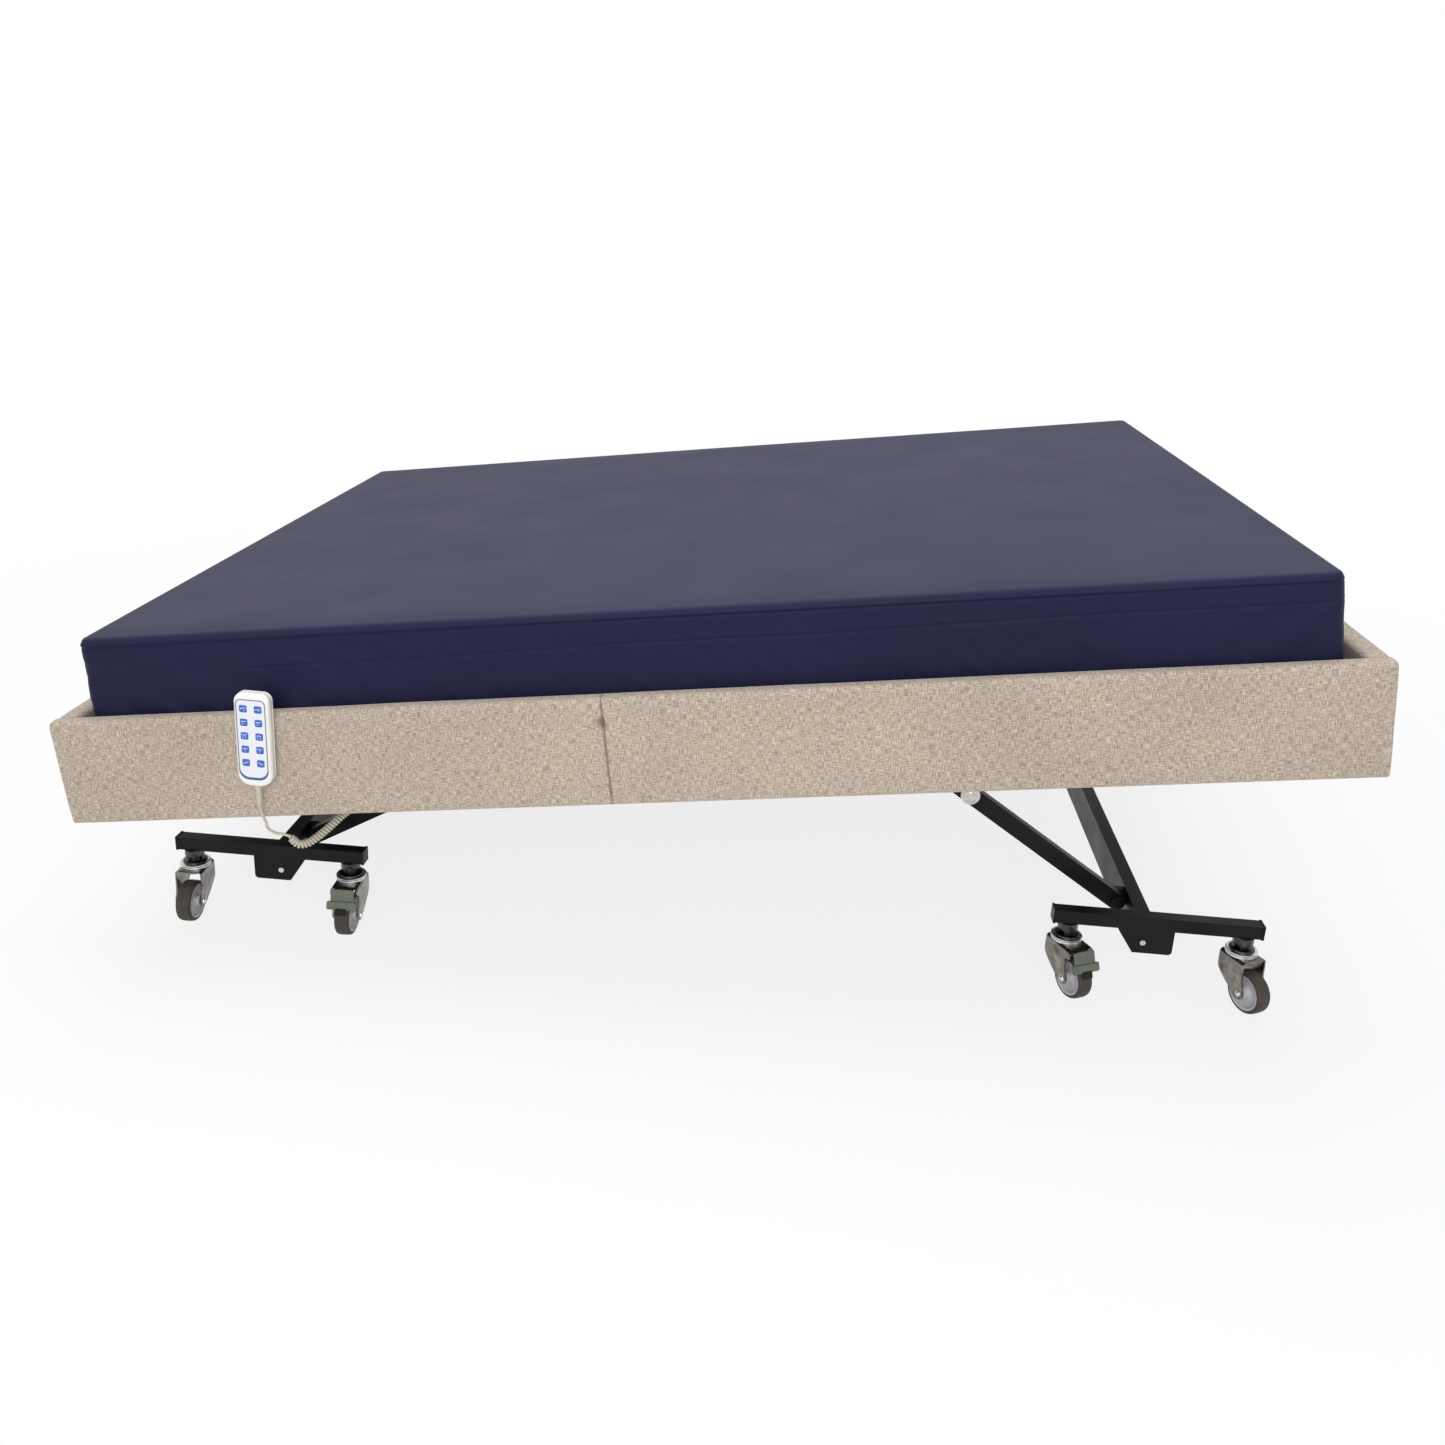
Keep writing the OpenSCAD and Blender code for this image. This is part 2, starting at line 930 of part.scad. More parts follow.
module castor_fork_1() { color(c_zinc) castor_fork(1, false); }
module castor_fork_2() { color(c_zinc) castor_fork(2, true); }
module castor_fork_3() { color(c_zinc) castor_fork(3, false); }
module castor_fork_4() { color(c_zinc) castor_fork(4, true); }
module castor_fork_5() { color(c_zinc) castor_fork(5, false); }
module castor_fork_6() { color(c_zinc) castor_fork(6, true); }
module castor_fork_7() { color(c_zinc) castor_fork(7, false); }
module castor_fork_8() { color(c_zinc) castor_fork(8, true); }
module castor_wheel_1() { color(c_tyre) castor_wheel(1); }
module castor_wheel_2() { color(c_tyre) castor_wheel(2); }
module castor_wheel_3() { color(c_tyre) castor_wheel(3); }
module castor_wheel_4() { color(c_tyre) castor_wheel(4); }
module castor_wheel_5() { color(c_tyre) castor_wheel(5); }
module castor_wheel_6() { color(c_tyre) castor_wheel(6); }
module castor_wheel_7() { color(c_tyre) castor_wheel(7); }
module castor_wheel_8() { color(c_tyre) castor_wheel(8); }
module brake_pedal_1() { color(c_pedal) brake_pedal(2); }
module brake_pedal_2() { color(c_pedal) brake_pedal(4); }
module brake_pedal_3() { color(c_pedal) brake_pedal(6); }
module brake_pedal_4() { color(c_pedal) brake_pedal(8); }

// ==== control box ====
box_u0 = 440;
box_u1 = 620;
box_w0 = 14;
gland_u = 600;
gland_v = 96;

module control_box() {
  color(c_black)
    in_bed()
      union() {
        box([box_u0, rail_in, box_w0], [box_u1, 128, 88]);
        box([box_u0 - 12, rail_in, 44], [box_u1 + 12, rail_in + 5, 88]);
        translate([gland_u, gland_v, box_w0 - 14])
          cylinder(r = 8, h = 15);
        // mains inlet
        box([box_u1, 84, 34], [box_u1 + 8, 112, 58]);
      }
}

// ==== handset ====
module hs_place() {
  on_floor()
    translate([hs_x, 0, hs_z0 + hs_h])
      rotate([0, hs_lean, 0])
        translate([-hs_x, 0, -hs_z0 - hs_h])
          children();
}

function key_x(col) = hs_x + (col == 0 ? -key_dx / 2 : key_dx / 2);
function key_z(row) = key_z0 + (5 - row) * key_dz;

module pad_outline() {
  round_rect(hs_x - pad_w / 2, hs_z0 + pad_low, hs_x + pad_w / 2, hs_z0 + pad_low + pad_h, pad_r);
}

hook_w = 18;
hook_z = hs_z0 + 126;

module handset_case() {
  color(c_white)
    hs_place()
      difference() {
        union() {
          plate_v(hs_front, hs_front + hs_t)
            round_rect(hs_x - hs_w / 2, hs_z0, hs_x + hs_w / 2, hs_z0 + hs_h, hs_r);
          // hook over the panel's edge
          box([hs_x - hook_w / 2, hs_front + hs_t - 1, hook_z],
              [hs_x + hook_w / 2, 32.5, hook_z + 2.5]);
          box([hs_x - hook_w / 2, 30.5, hook_z - 30],
              [hs_x + hook_w / 2, 32.5, hook_z + 2.5]);
          // collar the strain relief sits in
          translate([hs_x, hs_front + hs_t / 2, hs_z0 - 4])
            cylinder(r = 7.5, h = 6);
        }
        plate_v(hs_front - 1, hs_front + pad_t)
          pad_outline();
        for (col = [0, 1], row = [1:5])
          translate([key_x(col) - key_w / 2 - 0.3, hs_front - 2, key_z(row) - key_h / 2 - 0.3])
            cube([key_w + 0.6, 2 - button_out + key_d + button_room, key_h + 0.6]);
      }
}

module handset_keypad() {
  color(c_white)
    hs_place()
      plate_v(hs_front, hs_front + pad_t)
        difference() {
          pad_outline();
          for (col = [0, 1], row = [1:5])
            translate([key_x(col) - key_w / 2 - 0.3, key_z(row) - key_h / 2 - 0.3])
              square([key_w + 0.6, key_h + 0.6]);
        }
}

module key(col, row) {
  color(c_blue)
    hs_place()
      plate_v(hs_front - button_out, hs_front - button_out + key_d)
        round_rect(key_x(col) - key_w / 2, key_z(row) - key_h / 2,
                   key_x(col) + key_w / 2, key_z(row) + key_h / 2, key_r);
}

module button_l1() { key(0, 1); }
module button_l2() { key(0, 2); }
module button_l3() { key(0, 3); }
module button_l4() { key(0, 4); }
module button_l5() { key(0, 5); }
module button_r1() { key(1, 1); }
module button_r2() { key(1, 2); }
module button_r3() { key(1, 3); }
module button_r4() { key(1, 4); }
module button_r5() { key(1, 5); }

// ribbed strain relief under the handset
module handset_relief() {
  color(c_fabric)
    hs_place()
      translate([hs_x, hs_front + hs_t / 2, hs_z0 - 36])
        difference() {
          union() {
            cylinder(r1 = 4, r2 = 5, h = 32);
            for (i = [0:5])
              translate([0, 0, 3 + i * 5])
                cylinder(r = 5 + i * 0.15, h = 2.6);
          }
          translate([0, 0, -1])
            cylinder(r = 3, h = 12);
        }
}

// ==== cord ====
cord_r = 2.5;
coil_r = 7.5;
cord_a = [
  [348.7, -16, 369], [348.6, -16, 357], [351, -14, 340], [354.5, -9, 321],
  [356, -5, 307], [366.7, 0, 297.1], [377.2, 4, 294], [387.6, 8, 289.2]
];
cord_c = [
  [387.8, 8.1, 289], [398.5, 13, 273], [411, 20, 271], [424.2, 30, 277.3],
  [438, 42, 287.8], [451.2, 56, 299.4], [464, 72, 310], [484, 84, 319],
  [512, 92, 323], [542, 96, 327], [568, 96, 334], [587, 96, 342]
];
cord_b = [
  [587, 96, 342], [591, 96, 344.6], [594, 96, 348], [595.2, 96, 352], [595, 96, 359]
];

function vadd(a, b) = a + b;
function catmull(p, i, t) =
  let (n = len(p) - 1,
       p0 = p[max(i - 1, 0)],
       p1 = p[i],
       p2 = p[min(i + 1, n)],
       p3 = p[min(i + 2, n)])
  0.5 * (2 * p1 + (p2 - p0) * t
    + (2 * p0 - 5 * p1 + 4 * p2 - p3) * t * t
    + (3 * p1 - p0 - 3 * p2 + p3) * t * t * t);
function curve(p, k) = [
  for (i = [0:len(p) - 2], j = [0:k - 1]) catmull(p, i, j / k),
  p[len(p) - 1]
];
function unit(a) = a / norm(a);
function tangent(c, i) =
  unit(c[min(i + 1, len(c) - 1)] - c[max(i - 1, 0)]);
function ring(c, i, r, n) =
  let (t = tangent(c, i),
       a = unit(cross(t, [0.3, 0.8, 0.5])),
       b = cross(t, a))
  [for (k = [0:n - 1]) c[i] + r * (cos(360 * k / n) * a + sin(360 * k / n) * b)];

// closed tube through the curve c
module tube(c, r, n) {
  m = len(c);
  pts = [for (i = [0:m - 1]) each ring(c, i, r, n)];
  sides = [
    for (i = [0:m - 2], k = [0:n - 1])
      each [
        [i * n + k, (i + 1) * n + k, i * n + (k + 1) % n],
        [i * n + (k + 1) % n, (i + 1) * n + k, (i + 1) * n + (k + 1) % n]
      ]
  ];
  caps = [
    [for (k = [0:n - 1]) k],
    [for (k = [n - 1:-1:0]) (m - 1) * n + k]
  ];
  polyhedron(points = pts, faces = concat(sides, caps), convexity = 4);
}

module handset_cord() {
  color(c_fabric)
    on_floor() {
      tube(curve(cord_a, 3), cord_r, 10);
      tube(curve(cord_b, 2), cord_r, 10);
    }
}

module handset_coil() {
  color(c_fabric)
    on_floor()
      tube(curve(cord_c, 3), coil_r, 12);
}

surround_near();
surround_far();
surround_head();
surround_foot();
chassis_frame();
seat_deck();
seat_mattress();
control_box();
actuator_housings();
handset_case();
handset_keypad();
handset_relief();
handset_cord();
handset_coil();
button_l1();
button_l2();
button_l3();
button_l4();
button_l5();
button_r1();
button_r2();
button_r3();
button_r4();
button_r5();
back_deck();
back_mattress();
thigh_deck();
thigh_mattress();
calf_deck();
calf_mattress();
head_lift_rod();
foot_lift_rod();
back_rod();
leg_rod();
head_arms();
foot_arms();
head_bogie();
foot_bogie();
head_bogie_bolts();
foot_bogie_bolts();
castor_fork_1();
castor_fork_2();
castor_fork_3();
castor_fork_4();
castor_fork_5();
castor_fork_6();
castor_fork_7();
castor_fork_8();
castor_wheel_1();
castor_wheel_2();
castor_wheel_3();
castor_wheel_4();
castor_wheel_5();
castor_wheel_6();
castor_wheel_7();
castor_wheel_8();
brake_pedal_1();
brake_pedal_2();
brake_pedal_3();
brake_pedal_4();
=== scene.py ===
import json

import bmesh
import bpy
import numpy as np
from mathutils import Matrix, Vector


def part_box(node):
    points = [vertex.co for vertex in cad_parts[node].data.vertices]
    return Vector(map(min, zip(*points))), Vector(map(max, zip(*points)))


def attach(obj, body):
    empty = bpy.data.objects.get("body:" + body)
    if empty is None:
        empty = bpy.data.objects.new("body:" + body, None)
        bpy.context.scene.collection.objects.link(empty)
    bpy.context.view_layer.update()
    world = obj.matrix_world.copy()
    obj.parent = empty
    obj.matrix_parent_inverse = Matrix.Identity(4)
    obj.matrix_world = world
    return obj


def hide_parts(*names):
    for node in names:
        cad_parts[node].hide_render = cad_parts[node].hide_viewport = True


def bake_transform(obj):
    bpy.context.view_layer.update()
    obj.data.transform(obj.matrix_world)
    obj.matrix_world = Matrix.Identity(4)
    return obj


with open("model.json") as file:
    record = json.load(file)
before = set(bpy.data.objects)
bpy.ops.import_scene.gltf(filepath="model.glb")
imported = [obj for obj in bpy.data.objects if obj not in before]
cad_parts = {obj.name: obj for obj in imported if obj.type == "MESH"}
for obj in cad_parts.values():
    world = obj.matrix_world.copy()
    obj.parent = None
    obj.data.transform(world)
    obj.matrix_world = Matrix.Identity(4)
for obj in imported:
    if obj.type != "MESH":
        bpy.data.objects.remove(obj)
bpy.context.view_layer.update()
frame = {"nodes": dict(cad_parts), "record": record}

# ---------------------------------------------------------------------------
# The deck the bed is built on. It stands a little head-down on its lifting arms,
# so most pieces are laid out along the deck (u), across it (v) and up from the
# lower edge of the surround (w), and turned into place from its two fold hinges.
# ---------------------------------------------------------------------------
joints = {j["name"]: j for j in frame["record"]["behaviour"]["joints"]}
back_hinge = np.array(joints["back_raise"]["pos_m"])
thigh_hinge = np.array(joints["thigh_raise"]["pos_m"])
deck_along = (thigh_hinge - back_hinge) / np.linalg.norm(thigh_hinge - back_hinge)
deck_up = np.array([-deck_along[2], 0.0, deck_along[0]])
bed_wide = 1.590
back_hinge_u, hinge_w = 0.830, 0.112
deck_zero = back_hinge - back_hinge_u * deck_along - np.array([0, bed_wide / 2, 0]) - hinge_w * deck_up


def on_deck(u, v, w):
    """Row-frame points of deck places: zero + u * along + v * across + w * up."""
    u, v, w = np.broadcast_arrays(np.asarray(u, float), v, w)
    return deck_zero + u[..., None] * deck_along + v[..., None] * np.array([0, 1, 0]) + w[..., None] * deck_up


# ---------------------------------------------------------------------------
# The camera, a little above the mattress on the handset's side of the bed.
# ---------------------------------------------------------------------------
camera = bpy.data.objects.new("camera", bpy.data.cameras.new("camera"))
bpy.context.scene.collection.objects.link(camera)
bpy.context.scene.camera = camera
looks_along = np.array([-0.08385, 0.94702, -0.31003])
to_right = np.array([0.99430, 0.10007, 0.03676])
stands = np.eye(4)
stands[:3, 0] = to_right
stands[:3, 1] = np.cross(to_right, looks_along)
stands[:3, 2] = -looks_along
stands[:3, 3] = (0.1794, -2.6564, 1.3299)
camera.matrix_world = Matrix(stands.tolist())
camera.data.sensor_width = 36
camera.data.lens = 31.59
camera.data.shift_x = 0.017
camera.data.shift_y = -0.0654
camera.data.clip_end = 60


# ---------------------------------------------------------------------------
# Handset cord: a thin round lead of soft PVC. It drops from the handset's strain
# relief, dips under the side panel, winds into a spring coil there and climbs to
# its gland in the control box.
# ---------------------------------------------------------------------------
# points in millimetres, as the part's source has them; plan is where the frame's zero lies there
plan = np.array([1064.233, 780.4, 0.0])
lead_out = np.array([[348.7, -16, 369], [348.6, -16, 357], [351, -14, 340], [354.5, -9, 321],
                     [356, -5, 307], [366.7, 0, 297.1], [377.2, 4, 294], [387.6, 8, 289.2]])
coil_run = np.array([[387.6, 8, 289.2], [398.5, 13, 273], [411, 20, 271], [424.2, 30, 277.3],
                     [438, 42, 287.8], [451.2, 56, 299.4], [464, 72, 310], [484, 84, 319],
                     [512, 92, 323], [542, 96, 327], [568, 96, 334], [587, 96, 342]])
lead_in = np.array([[587, 96, 342], [591, 96, 344.6], [594, 96, 348], [595.2, 96, 352], [595, 96, 359]])
cord_thick = 0.005
cord_sides = 8
coil_turn = 0.00505
coil_pitch = 0.0054
coil_points = 14
coil_ease = 0.006


def through(points, per_span):
    """Catmull-Rom curve through the points: each span is the cubic whose end slopes are
    half the chord between the neighbours of its two ends."""
    p = np.vstack([points[:1], points, points[-1:]])
    t = np.linspace(0, 1, per_span, endpoint=False)[:, None]
    spans = [0.5 * (2 * p[i + 1] + (p[i + 2] - p[i]) * t
                    + (2 * p[i] - 5 * p[i + 1] + 4 * p[i + 2] - p[i + 3]) * t ** 2
                    + (3 * p[i + 1] - p[i] - 3 * p[i + 2] + p[i + 3]) * t ** 3)
             for i in range(len(points) - 1)]
    return np.vstack(spans + [points[-1:]])


def along_curve(p):
    """Distance from the start to each point of a curve, the running sum of its steps."""
    return np.concatenate([[0], np.cumsum(np.linalg.norm(np.diff(p, axis=0), axis=1))])


def carried_axes(p):
    """Unit tangent and two cross axes at each point of a curve. The axes are the last
    ones with the new tangent's share taken off, so they never spin about the curve."""
    t = np.gradient(p, axis=0)
    t /= np.linalg.norm(t, axis=1)[:, None]
    a = np.zeros_like(t)
    a[0] = np.cross(t[0], [0.3, 0.8, 0.5])
    for i in range(1, len(p)):
        a[i] = a[i - 1] - t[i] * (a[i - 1] @ t[i])
        a[i] /= np.linalg.norm(a[i])
    a[0] /= np.linalg.norm(a[0])
    return t, a, np.cross(t, a)


def surface(name, points, wrap_rows=False, wrap_cols=False, uv=None, caps=True, smooth=True):
    """Mesh of a grid of points: a face joins each point to its right, upper-right and
    upper neighbours. A wrapped direction joins its last line to its first, and with
    columns wrapped the first and last rows are closed by a flat cap."""
    rows, cols = points.shape[:2]
    at = np.arange(rows * cols).reshape(rows, cols)
    r = np.arange(rows if wrap_rows else rows - 1)
    c = np.arange(cols if wrap_cols else cols - 1)
    a = at[np.ix_(r, c)]
    b = at[np.ix_(r, (c + 1) % cols)]
    d = at[np.ix_((r + 1) % rows, (c + 1) % cols)]
    e = at[np.ix_((r + 1) % rows, c)]
    quads = np.stack([a, b, d, e], -1).reshape(-1, 4)
    faces = quads.tolist()
    if wrap_cols and not wrap_rows and caps:
        faces += [at[0][::-1].tolist(), at[-1].tolist()]
    mesh = bpy.data.meshes.new(name)
    mesh.from_pydata(points.reshape(-1, 3).tolist(), [], faces)
    if uv is not None:
        # the last face of a wrapped direction runs on past the end, not back to zero
        u, v = uv
        u = np.append(u, u[-1] + (u[-1] - u[-2])) if wrap_rows else u
        v = np.append(v, v[-1] + (v[-1] - v[-2])) if wrap_cols else v
        rr, cc = np.meshgrid(r, c, indexing="ij")
        corner = np.stack([np.stack([u[rr + i], v[cc + j]], -1)
                           for i, j in ((0, 0), (0, 1), (1, 1), (1, 0))], 2)
        flat = np.zeros((sum(len(f) for f in faces), 2))
        flat[: corner.size // 2] = corner.reshape(-1, 2)
        mesh.uv_layers.new(name="UVMap").data.foreach_set("uv", flat.ravel())
    mesh.polygons.foreach_set("use_smooth", np.full(len(faces), smooth))
    if wrap_cols and not wrap_rows and caps:
        for f in mesh.polygons[-2:]:
            f.use_smooth = False
    mesh.update()
    piece = bpy.data.objects.new(name, mesh)
    bpy.context.scene.collection.objects.link(piece)
    return piece


out_line = through((lead_out - plan) / 1000, 8)
mid_line = through((coil_run - plan) / 1000, 60)
in_line = through((lead_in - plan) / 1000, 6)
run = along_curve(mid_line)
_, side_a, side_b = carried_axes(mid_line)
steps = np.arange(0, run[-1], coil_pitch / coil_points)
swing = coil_turn * np.clip(np.minimum(steps, run[-1] - steps) / coil_ease, 0, 1)
turn = 2 * np.pi * steps / coil_pitch


def at_steps(rows):
    """Rows of the coil's middle line read off at its steps, each column by itself."""
    return np.stack([np.interp(steps, run, rows[:, k]) for k in range(3)], 1)


coil_line = (at_steps(mid_line) + swing[:, None] * (np.cos(turn)[:, None] * at_steps(side_a)
                                                    + np.sin(turn)[:, None] * at_steps(side_b)))
cord_line = np.vstack([out_line[:-1], coil_line, in_line[1:]])
_, across_a, across_b = carried_axes(cord_line)
ring = np.linspace(0, 2 * np.pi, cord_sides, endpoint=False)
cord_piece = surface(
    "handset_lead",
    cord_line[:, None, :] + cord_thick / 2 * (np.cos(ring)[None, :, None] * across_a[:, None, :]
                                              + np.sin(ring)[None, :, None] * across_b[:, None, :]),
    wrap_cols=True, uv=(along_curve(cord_line), ring * cord_thick / 2))
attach(cord_piece, "platform")
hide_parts("handset_cord", "handset_coil")


# ---------------------------------------------------------------------------
# Studio: a pale seamless floor under a wide soft light, with a weaker fill from
# the camera's side. The floor is mostly clear against the white world, so the
# carriages still show where raising the bed moves them below it.
# ---------------------------------------------------------------------------
def material(name):
    """New node material with its output and a Principled shader."""
    made = bpy.data.materials.new(name)
    made.use_nodes = True
    return made, made.node_tree.nodes, made.node_tree.links, made.node_tree.nodes["Principled BSDF"]


floor_half = np.linspace(-14, 14, 3)
floor = surface("floor", np.stack(np.meshgrid(floor_half, floor_half, [0.0], indexing="ij"), -1)[:, :, 0, :])
floor_paint, n, l, bsdf = material("pale floor")
bsdf.inputs["Base Color"].default_value = (0.86, 0.86, 0.86, 1)
bsdf.inputs["Roughness"].default_value = 0.9
bsdf.inputs["Specular IOR Level"].default_value = 0.1
bright = n.new("ShaderNodeBsdfTransparent")
path = n.new("ShaderNodeLightPath")
place = n.new("ShaderNodeNewGeometry")
far = n.new("ShaderNodeVectorMath")
far.operation = "LENGTH"
l.new(place.outputs["Position"], far.inputs[0])
fade = n.new("ShaderNodeMapRange")
fade.interpolation_type = "SMOOTHSTEP"
fade.inputs["From Min"].default_value = 1.3
fade.inputs["From Max"].default_value = 3.6
fade.inputs["To Min"].default_value = 0.82
l.new(far.outputs["Value"], fade.inputs["Value"])
open_ray = path.outputs["Is Camera Ray"]
for which in ("Is Glossy Ray", "Is Transmission Ray", "Is Shadow Ray"):
    add = n.new("ShaderNodeMath")
    add.operation = "ADD"
    add.use_clamp = True
    l.new(open_ray, add.inputs[0])
    l.new(path.outputs[which], add.inputs[1])
    open_ray = add.outputs[0]
seen = n.new("ShaderNodeMath")
seen.operation = "MULTIPLY"
l.new(fade.outputs["Result"], seen.inputs[0])
l.new(open_ray, seen.inputs[1])
blend = n.new("ShaderNodeMixShader")
l.new(seen.outputs[0], blend.inputs[0])
l.new(bsdf.outputs[0], blend.inputs[1])
l.new(bright.outputs[0], blend.inputs[2])
l.new(blend.outputs[0], n["Material Output"].inputs["Surface"])
floor.data.materials.append(floor_paint)

world = bpy.data.worlds.new("studio")
bpy.context.scene.world = world
world.use_nodes = True
wn, wl = world.node_tree.nodes, world.node_tree.links
sky = wn["Background"]
sky.inputs["Color"].default_value = (1, 1, 1, 1)
ray = wn.new("ShaderNodeLightPath")
level = wn.new("ShaderNodeMapRange")
level.inputs["To Min"].default_value = 0.42
level.inputs["To Max"].default_value = 1.0
straight = None
for which in ("Is Glossy Ray", "Is Transmission Ray"):
    add = wn.new("ShaderNodeMath")
    add.operation = "ADD"
    add.use_clamp = True
    wl.new(straight or ray.outputs["Is Camera Ray"], add.inputs[0])
    wl.new(ray.outputs[which], add.inputs[1])
    straight = add.outputs[0]
wl.new(straight, level.inputs["Value"])
wl.new(level.outputs["Result"], sky.inputs["Strength"])


def soft_light(name, at, target, size, power):
    """Square area lamp of that size and power, its face turned to the target."""
    lamp = bpy.data.objects.new(name, bpy.data.lights.new(name, "AREA"))
    bpy.context.scene.collection.objects.link(lamp)
    lamp.data.shape = "RECTANGLE"
    lamp.data.size, lamp.data.size_y = size
    lamp.data.energy = power
    back = np.array(at, float) - np.array(target, float)
    back /= np.linalg.norm(back)
    right = np.cross([0, 0.01, 1] if abs(back[2]) < 0.99 else [0, 1, 0], back)
    right /= np.linalg.norm(right)
    m = np.eye(4)
    m[:3, 0], m[:3, 1], m[:3, 2], m[:3, 3] = right, np.cross(back, right), back, at
    lamp.matrix_world = Matrix(m.tolist())


soft_light("ceiling", (-0.3, 0.2, 3.6), (0, 0, 0.5), (4.2, 3.4), 120)
soft_light("front fill", (0.2, -4.4, 2.2), (0, 0, 0.4), (3.6, 2.2), 90)
bpy.context.scene.view_settings.view_transform = "Standard"


# ---------------------------------------------------------------------------
# Surround: four boards padded with thin foam and wrapped in oatmeal linen-look
# cloth, stapled underneath. The two side boards run the whole length and the end
# boards stand between them; the handset side is sewn from two lengths of cloth.
# ---------------------------------------------------------------------------
bed_long, board_high = 2.168, 0.188
side_thick, end_thick = 0.030, 0.036
end_boards = (0.0302, 1.5598)
weave_pitch = 0.0011
board_low_turn = 0.004
board_top_turn = 0.0085
seam_at = 0.955
tuft_before_seam, tuft_up = 0.004, 0.147


def board_profile(thick, high):
    """Closed outline of a wrapped board: up the outer face, over the top, down the
    inner face and back underneath, with quarter circles at the four edges."""
    a, b = board_top_turn, board_low_turn
    q = np.linspace(0, np.pi / 2, 7)[1:-1]
    up = np.concatenate([[b, b + 0.003], np.linspace(b + 0.006, high - a - 0.004, 26), [high - a]])
    outer = np.stack([up * 0, up], 1)
    turn_in = np.stack([a - a * np.cos(q), high - a + a * np.sin(q)], 1)
    top = np.stack([np.linspace(a, thick - a, 4), np.full(4, high)], 1)
    turn_down = np.stack([thick - a + a * np.sin(q), high - a + a * np.cos(q)], 1)
    down = np.linspace(high - a, b, 10)
    inner = np.stack([down * 0 + thick, down], 1)
    turn_under = np.stack([thick - b + b * np.cos(q), b - b * np.sin(q)], 1)
    under = np.stack([np.linspace(thick - b, b, 4), np.zeros(4)], 1)
    turn_up = np.stack([b - b * np.sin(q), b - b * np.cos(q)], 1)
    return np.vstack([outer, turn_in, top, turn_down, inner, turn_under, under, turn_up])


def ripple(x, y, seed, reach, count=24):
    """Smooth unevenness from -1 to 1: the mean of seeded plane waves whose lengths lie
    round reach and that run in every direction."""
    rng = np.random.default_rng(seed)
    k = 2 * np.pi / (reach * rng.uniform(0.6, 1.8, count))
    way = rng.uniform(0, 2 * np.pi, count)
    start = rng.uniform(0, 2 * np.pi, count)
    total = sum(np.sin(kk * (np.cos(d) * x + np.sin(d) * y) + s) for kk, d, s in zip(k, way, start))
    return total / np.sqrt(count) / 1.6


